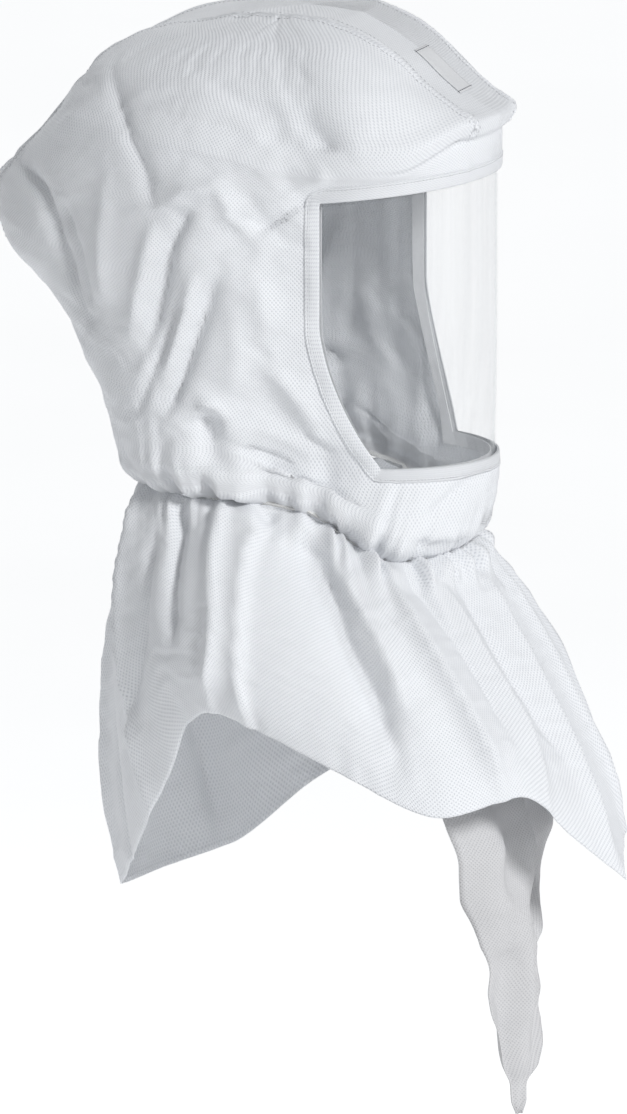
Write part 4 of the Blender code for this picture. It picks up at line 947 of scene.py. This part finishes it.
def build_pad(name, node):
    """A foam pad in a CAD pad's box, with round edges and slightly full faces."""
    low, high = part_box(node)
    bm = bmesh.new()
    bmesh.ops.create_cube(bm, size=2.0)
    bmesh.ops.subdivide_edges(bm, edges=bm.edges, cuts=9, use_grid_fill=True)
    for v in bm.verts:
        a, b, c = (k * k for k in v.co)
        full = Vector((1 - PAD_ROUNDING * (b + c), 1 - PAD_ROUNDING * (a + c), 1 - PAD_ROUNDING * (a + b)))
        v.co = (low + high) / 2 + v.co * full * (high - low) / 2
    mesh = bpy.data.meshes.new(name)
    bm.to_mesh(mesh)
    bm.free()
    mesh.shade_smooth()
    return link(name, mesh)


def build_rear_strap(word):
    """A copy of a rear strap, between the headband's end and the ratchet."""
    obj = link(f"bending_strap_{word}", NODES[f"rear_strap_{word}"].data.copy())
    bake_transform(obj)
    return obj


# ---------------------------------------------------------------- materials


class Shader:
    """A material's nodes, with short calls to add and link them."""

    def __init__(self, name):
        self.material = bpy.data.materials.new(name)
        self.material.use_nodes = True
        self.tree = self.material.node_tree
        self.bsdf = self.tree.nodes["Principled BSDF"]
        self.output = self.tree.nodes["Material Output"]

    def node(self, kind, links=(), **settings):
        made = self.tree.nodes.new(kind)
        for key, value in settings.items():
            setattr(made, key, value)
        for socket, source in dict(links).items():
            self.put(made, socket, source)
        return made

    def put(self, node, socket, source):
        """Links an output, or sets a value on the socket itself."""
        target = node.inputs[socket]
        if isinstance(source, bpy.types.NodeSocket):
            self.tree.links.new(source, target)
        else:
            target.default_value = source

    def math(self, operation, a, b=0.0, clamp=False):
        made = self.node("ShaderNodeMath", {0: a, 1: b}, operation=operation)
        made.use_clamp = clamp
        return made.outputs[0]

    def noise(self, scale, detail=3.0, roughness=0.5, vector=None):
        place = vector or self.node("ShaderNodeTexCoord").outputs["Object"]
        links = {"Vector": place, "Scale": scale, "Detail": detail, "Roughness": roughness}
        return self.node("ShaderNodeTexNoise", links).outputs["Fac"]

    def ramp(self, value, low, high, low_colour, high_colour):
        made = self.node("ShaderNodeValToRGB", {"Fac": value})
        made.color_ramp.elements[0].position = low
        made.color_ramp.elements[1].position = high
        made.color_ramp.elements[0].color = (*low_colour, 1)
        made.color_ramp.elements[1].color = (*high_colour, 1)
        return made.outputs["Color"]

    def spread(self, value, low, high):
        """A value from 0 to 1 stretched to run from low to high."""
        made = self.node("ShaderNodeMapRange", {"Value": value, "To Min": low, "To Max": high})
        return made.outputs["Result"]

    def bump(self, height, distance, strength=1.0, normal=None):
        links = {"Height": height, "Distance": distance, "Strength": strength}
        if normal:
            links["Normal"] = normal
        return self.node("ShaderNodeBump", links).outputs["Normal"]

    def set(self, **values):
        for key, value in values.items():
            self.put(self.bsdf, key.replace("_", " "), value)


def cloth_material(name, light, dark, depth, translucency):
    """Embossed nonwoven: a square grid of small pressed dots over fine fibres, a little see-through. The dots
    are painted darker, as painted shade in their dimples.
    """
    s = Shader(name)
    uv = s.node("ShaderNodeUVMap", uv_map="cloth").outputs["UV"]
    split = s.node("ShaderNodeSeparateXYZ", {"Vector": uv})
    waves = []
    for axis in ("X", "Y"):
        turned = s.math("MULTIPLY", split.outputs[axis], 2 * math.pi / EMBOSS_PITCH)
        waves.append(s.math("SINE", turned))
    dots = s.math("MULTIPLY", waves[0], waves[1])
    pressed = s.node("ShaderNodeMapRange", {"Value": dots, "From Min": 0.05, "From Max": 0.85})
    pressed = pressed.outputs["Result"]
    fibres = s.noise(2600.0, 2.0, 0.6)
    patches = s.noise(26.0, 3.0, 0.5)
    # Painted shade: the pressed dots take the dark colour for the shade in their dimples; the patches vary
    # that tone at random.
    shade = s.math("MULTIPLY", pressed, s.spread(patches, 0.55, 1.1))
    s.set(Base_Color=s.ramp(shade, 0.0, 1.0, light, dark), Roughness=0.82)
    s.set(Sheen_Weight=0.12, Sheen_Roughness=0.5, Specular_IOR_Level=0.25)
    dimples = s.math("SUBTRACT", s.math("MULTIPLY", fibres, 0.25), pressed)
    normal = s.bump(dimples, depth)
    s.set(Normal=normal)
    through = s.node("ShaderNodeBsdfTranslucent", {"Color": (*light, 1), "Normal": normal})
    both = s.node("ShaderNodeMixShader", {0: translucency, 1: s.bsdf.outputs[0], 2: through.outputs[0]})
    s.tree.links.new(both.outputs[0], s.output.inputs["Surface"])
    return s.material


def dress(obj, material):
    obj.data.materials.clear()
    obj.data.materials.append(material)


def film_material():
    """Clear sheet with faint upright streaks, denser where it turns away."""
    s = Shader("visor_film")
    place = s.node("ShaderNodeTexCoord").outputs["Object"]
    tall = s.node("ShaderNodeMapping", {"Vector": place, "Scale": (90, 90, 2.2)}).outputs["Vector"]
    streaks = s.spread(s.noise(1.0, 2.0, 0.6, tall), -0.03, 0.11)
    turned = s.node("ShaderNodeLayerWeight", {"Blend": 0.5}).outputs["Facing"]
    rim = s.math("MULTIPLY", s.math("POWER", turned, 7.0), 0.5)
    alpha = s.math("ADD", s.math("ADD", streaks, 0.035), rim, clamp=True)
    s.set(Base_Color=s.ramp(streaks, 0.0, 0.1, (0.80, 0.83, 0.86), (0.72, 0.75, 0.78)), Roughness=0.08)
    s.set(Alpha=alpha, Specular_IOR_Level=0.6)
    return s.material


def plastic_material(name, light, dark, roughness, grain=900.0, depth=0.00003):
    """Moulded plastic: slight mottling, a fine spark-eroded grain and uneven polish."""
    s = Shader(name)
    cloud = s.noise(45.0, 4.0, 0.6)
    s.set(Base_Color=s.ramp(cloud, 0.25, 0.75, dark, light))
    worn = s.spread(s.noise(160.0, 3.0), roughness - 0.08, roughness + 0.10)
    s.set(Roughness=worn, Specular_IOR_Level=0.45)
    s.set(Normal=s.bump(s.noise(grain, 2.0, 0.6), depth))
    return s.material


def metal_material():
    s = Shader("brushed_steel")
    place = s.node("ShaderNodeTexCoord").outputs["Object"]
    drawn = s.node("ShaderNodeMapping", {"Vector": place, "Scale": (3000, 3000, 120)}).outputs["Vector"]
    lines = s.noise(1.0, 3.0, 0.7, drawn)
    s.set(Base_Color=s.ramp(lines, 0.3, 0.7, (0.50, 0.50, 0.52), (0.66, 0.66, 0.67)), Metallic=1.0)
    s.set(Roughness=s.spread(lines, 0.22, 0.42), Normal=s.bump(lines, 0.00001))
    return s.material


def foam_material(name, light, dark):
    """Open foam under a thin knitted face."""
    s = Shader(name)
    cells = s.node("ShaderNodeTexVoronoi", {"Scale": 900.0})
    pores = cells.outputs["Distance"]
    soft = s.noise(70.0)
    shade = s.math("MULTIPLY", s.spread(soft, 0.6, 1.0), pores)
    s.set(Base_Color=s.ramp(shade, 0.05, 0.75, dark, light), Roughness=0.95)
    s.set(Sheen_Weight=0.3, Sheen_Roughness=0.5, Specular_IOR_Level=0.15, Normal=s.bump(pores, 0.0003))
    return s.material


def thread_material(name, light, dark):
    """Twisted thread or woven ribbon."""
    s = Shader(name)
    place = s.node("ShaderNodeTexCoord").outputs["Object"]
    turned = s.node("ShaderNodeMapping", {"Vector": place, "Rotation": (0.7, 0.5, 0.9)}).outputs["Vector"]
    wave = s.node("ShaderNodeTexWave", {"Vector": turned, "Scale": 420.0, "Distortion": 1.5}).outputs["Fac"]
    fleck = s.noise(500.0)
    s.set(Base_Color=s.ramp(s.math("MULTIPLY", wave, fleck), 0.05, 0.6, dark, light), Roughness=0.7)
    s.set(Sheen_Weight=0.15, Sheen_Roughness=0.5, Normal=s.bump(wave, 0.00006))
    return s.material


# The darker colour of each cloth goes on its pressed dots as painted shade.
WHITE_CLOTH = cloth_material("white_nonwoven", (0.83, 0.845, 0.87), (0.64, 0.66, 0.70), 0.00020, 0.14)
# The flap is the same white nonwoven, painted grey: painted shade for the dim inside of the shroud where it
# hangs.
SHADE_PAINTED_FLAP_CLOTH = cloth_material("flap_nonwoven_painted_shade", (0.62, 0.62, 0.63), (0.46, 0.46, 0.48), 0.00014, 0.14)
FILM = film_material()
LABEL_CLOTH = thread_material("label_satin", (0.70, 0.71, 0.72), (0.60, 0.61, 0.63))
WHITE_THREAD = thread_material("white_thread", (0.80, 0.81, 0.83), (0.50, 0.51, 0.53))
GREY_THREAD = thread_material("grey_thread", (0.10, 0.11, 0.14), (0.03, 0.03, 0.04))
FINISHES = {
    "fabric": WHITE_CLOTH,
    # The inner cloth takes the flap's grey, which is painted shade.
    "fabric_inner": SHADE_PAINTED_FLAP_CLOTH,
    "clear": FILM,
    "tape": thread_material("binding_tape", (0.78, 0.79, 0.80), (0.62, 0.63, 0.65)),
    "label": LABEL_CLOTH,
    "elastic": thread_material("covered_elastic", (0.76, 0.76, 0.75), (0.52, 0.52, 0.51)),
    "duct": plastic_material("duct_plastic", (0.60, 0.62, 0.64), (0.54, 0.56, 0.58), 0.48),
    "harness": plastic_material("harness_plastic", (0.34, 0.35, 0.37), (0.28, 0.29, 0.31), 0.45),
    "accent": plastic_material("accent_plastic", (0.22, 0.31, 0.42), (0.17, 0.25, 0.35), 0.40),
    "foam": foam_material("pad_foam", (0.44, 0.45, 0.47), (0.24, 0.25, 0.27)),
    "rubber": plastic_material("seal_rubber", (0.060, 0.060, 0.062), (0.035, 0.035, 0.037), 0.70, 600.0,
                               0.00006),
    "steel": metal_material(),
}


# ---------------------------------------------------------------- stage


def make_camera():
    """A long lens from the wearer's right, in front and a little above."""
    data = bpy.data.cameras.new("camera")
    camera = bpy.data.objects.new("camera", data)
    bpy.context.scene.collection.objects.link(camera)
    bpy.context.scene.camera = camera
    azimuth, elevation = CAMERA_AZIMUTH, CAMERA_ELEVATION
    back = Vector((math.sin(azimuth) * math.cos(elevation), -math.cos(azimuth) * math.cos(elevation),
                   math.sin(elevation)))
    camera.location = Vector(CAMERA_TARGET) + back * CAMERA_DISTANCE
    camera.rotation_mode = "QUATERNION"
    camera.rotation_quaternion = (-back).to_track_quat("-Z", "Y")
    data.sensor_width = 2 * HALF_SENSOR
    data.lens = HALF_SENSOR * CAMERA_DISTANCE / HALF_VIEW
    data.clip_start, data.clip_end = 0.05, 100


def area_light(name, place, size, power, colour=(1, 1, 1)):
    data = bpy.data.lights.new(name, "AREA")
    data.shape = "DISK"
    data.size = size
    data.energy = power
    data.color = colour
    light = bpy.data.objects.new(name, data)
    light.location = place
    aim = Vector((0, -0.04, -0.15)) - Vector(place)
    light.rotation_euler = aim.to_track_quat("-Z", "Y").to_euler()
    bpy.context.scene.collection.objects.link(light)


def sun_light(name, towards, spread, strength):
    data = bpy.data.lights.new(name, "SUN")
    data.angle = math.radians(spread)
    data.energy = strength
    light = bpy.data.objects.new(name, data)
    light.rotation_euler = (-Vector(towards)).to_track_quat("-Z", "Y").to_euler()
    bpy.context.scene.collection.objects.link(light)


def make_stage():
    bpy.context.scene.view_settings.view_transform = "Standard"
    world = bpy.data.worlds.new("studio")
    bpy.context.scene.world = world
    world.use_nodes = True
    back = world.node_tree.nodes["Background"]
    back.inputs["Color"].default_value = (0.96, 0.98, 1.0, 1)
    back.inputs["Strength"].default_value = 0.30
    bpy.ops.mesh.primitive_plane_add(size=60, location=(0, 0, float(cad_box[0][2]) - FLOOR_DROP))
    floor = bpy.context.active_object
    floor.name = "floor"
    s = Shader("pale_floor")
    grain = s.noise(3.0)
    s.set(Base_Color=s.ramp(grain, 0.3, 0.7, (0.90, 0.90, 0.90), (0.92, 0.92, 0.92)), Roughness=0.9)
    s.set(Emission_Color=(0.98, 0.99, 1.0, 1), Emission_Strength=0.36)
    dress(floor, s.material)
    sun_light("key", (-0.42, -0.74, 0.52), 14, 2.4)
    area_light("rim", (1.4, 1.6, 1.3), 1.6, 26)


def finish_piece(obj, material, nodes=(), body="root"):
    dress(obj, material)
    if body:
        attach(obj, body)
    if nodes:
        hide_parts(*nodes)


make_camera()
make_stage()

hood = build_hood()
shroud = build_shroud()
hood_tree = surface_tree(hood)
hem, hem_line = build_window_hem(hood_tree)
label, label_lines = build_label(hood_tree)
seam_lines = [seam_line(hood_tree, SEAMS[k][3], shift, side)
              for k in (0, 1) for side in (1, -1) for shift in (-0.0034, 0.0034)]
welts = [build_welt(hood_tree, SEAMS[k][3], side, f"seam_welt_{word}_{k + 1}")
         for k in (0, 1) for side, word in ((1, "right"), (-1, "left"))]
white_stitches = stitches("seam_stitches", [hem_line] + seam_lines)
label_stitches = stitches("label_stitches", label_lines)
thicken(hood, CLOTH_THICK)
thicken(shroud, CLOTH_THICK)
flap = build_flap()
thicken(flap, CLOTH_THICK)
visor = build_visor()

finish_piece(hood, WHITE_CLOTH, ("hood_side_right", "hood_side_left", "hood_top_panel"))
finish_piece(shroud, WHITE_CLOTH, ("outer_shroud_front", "outer_shroud_back"))
# The flap's grey cloth is painted shade.
finish_piece(flap, SHADE_PAINTED_FLAP_CLOTH, ("inner_shroud",))
finish_piece(visor, FILM, ("visor_lens",))
for piece in [hem, *welts]:
    finish_piece(piece, WHITE_CLOTH)
finish_piece(label, LABEL_CLOTH, ("label_patch",))
finish_piece(white_stitches, WHITE_THREAD)
finish_piece(label_stitches, GREY_THREAD)

for name in ("crown_pad", "nape_pad"):
    carrier = "ratchet_carriage" if name == "nape_pad" else "root"
    pad = build_pad(f"soft_{name}", name)
    finish_piece(pad, FINISHES["foam"], (name,), carrier)
for word in ("right", "left"):
    finish_piece(build_rear_strap(word), FINISHES["harness"], (f"rear_strap_{word}",), None)

for obj in NODES.values():
    if obj.hide_render:
        continue
    dress(obj, FINISHES[obj.data.materials[0].name.split(".")[0]])
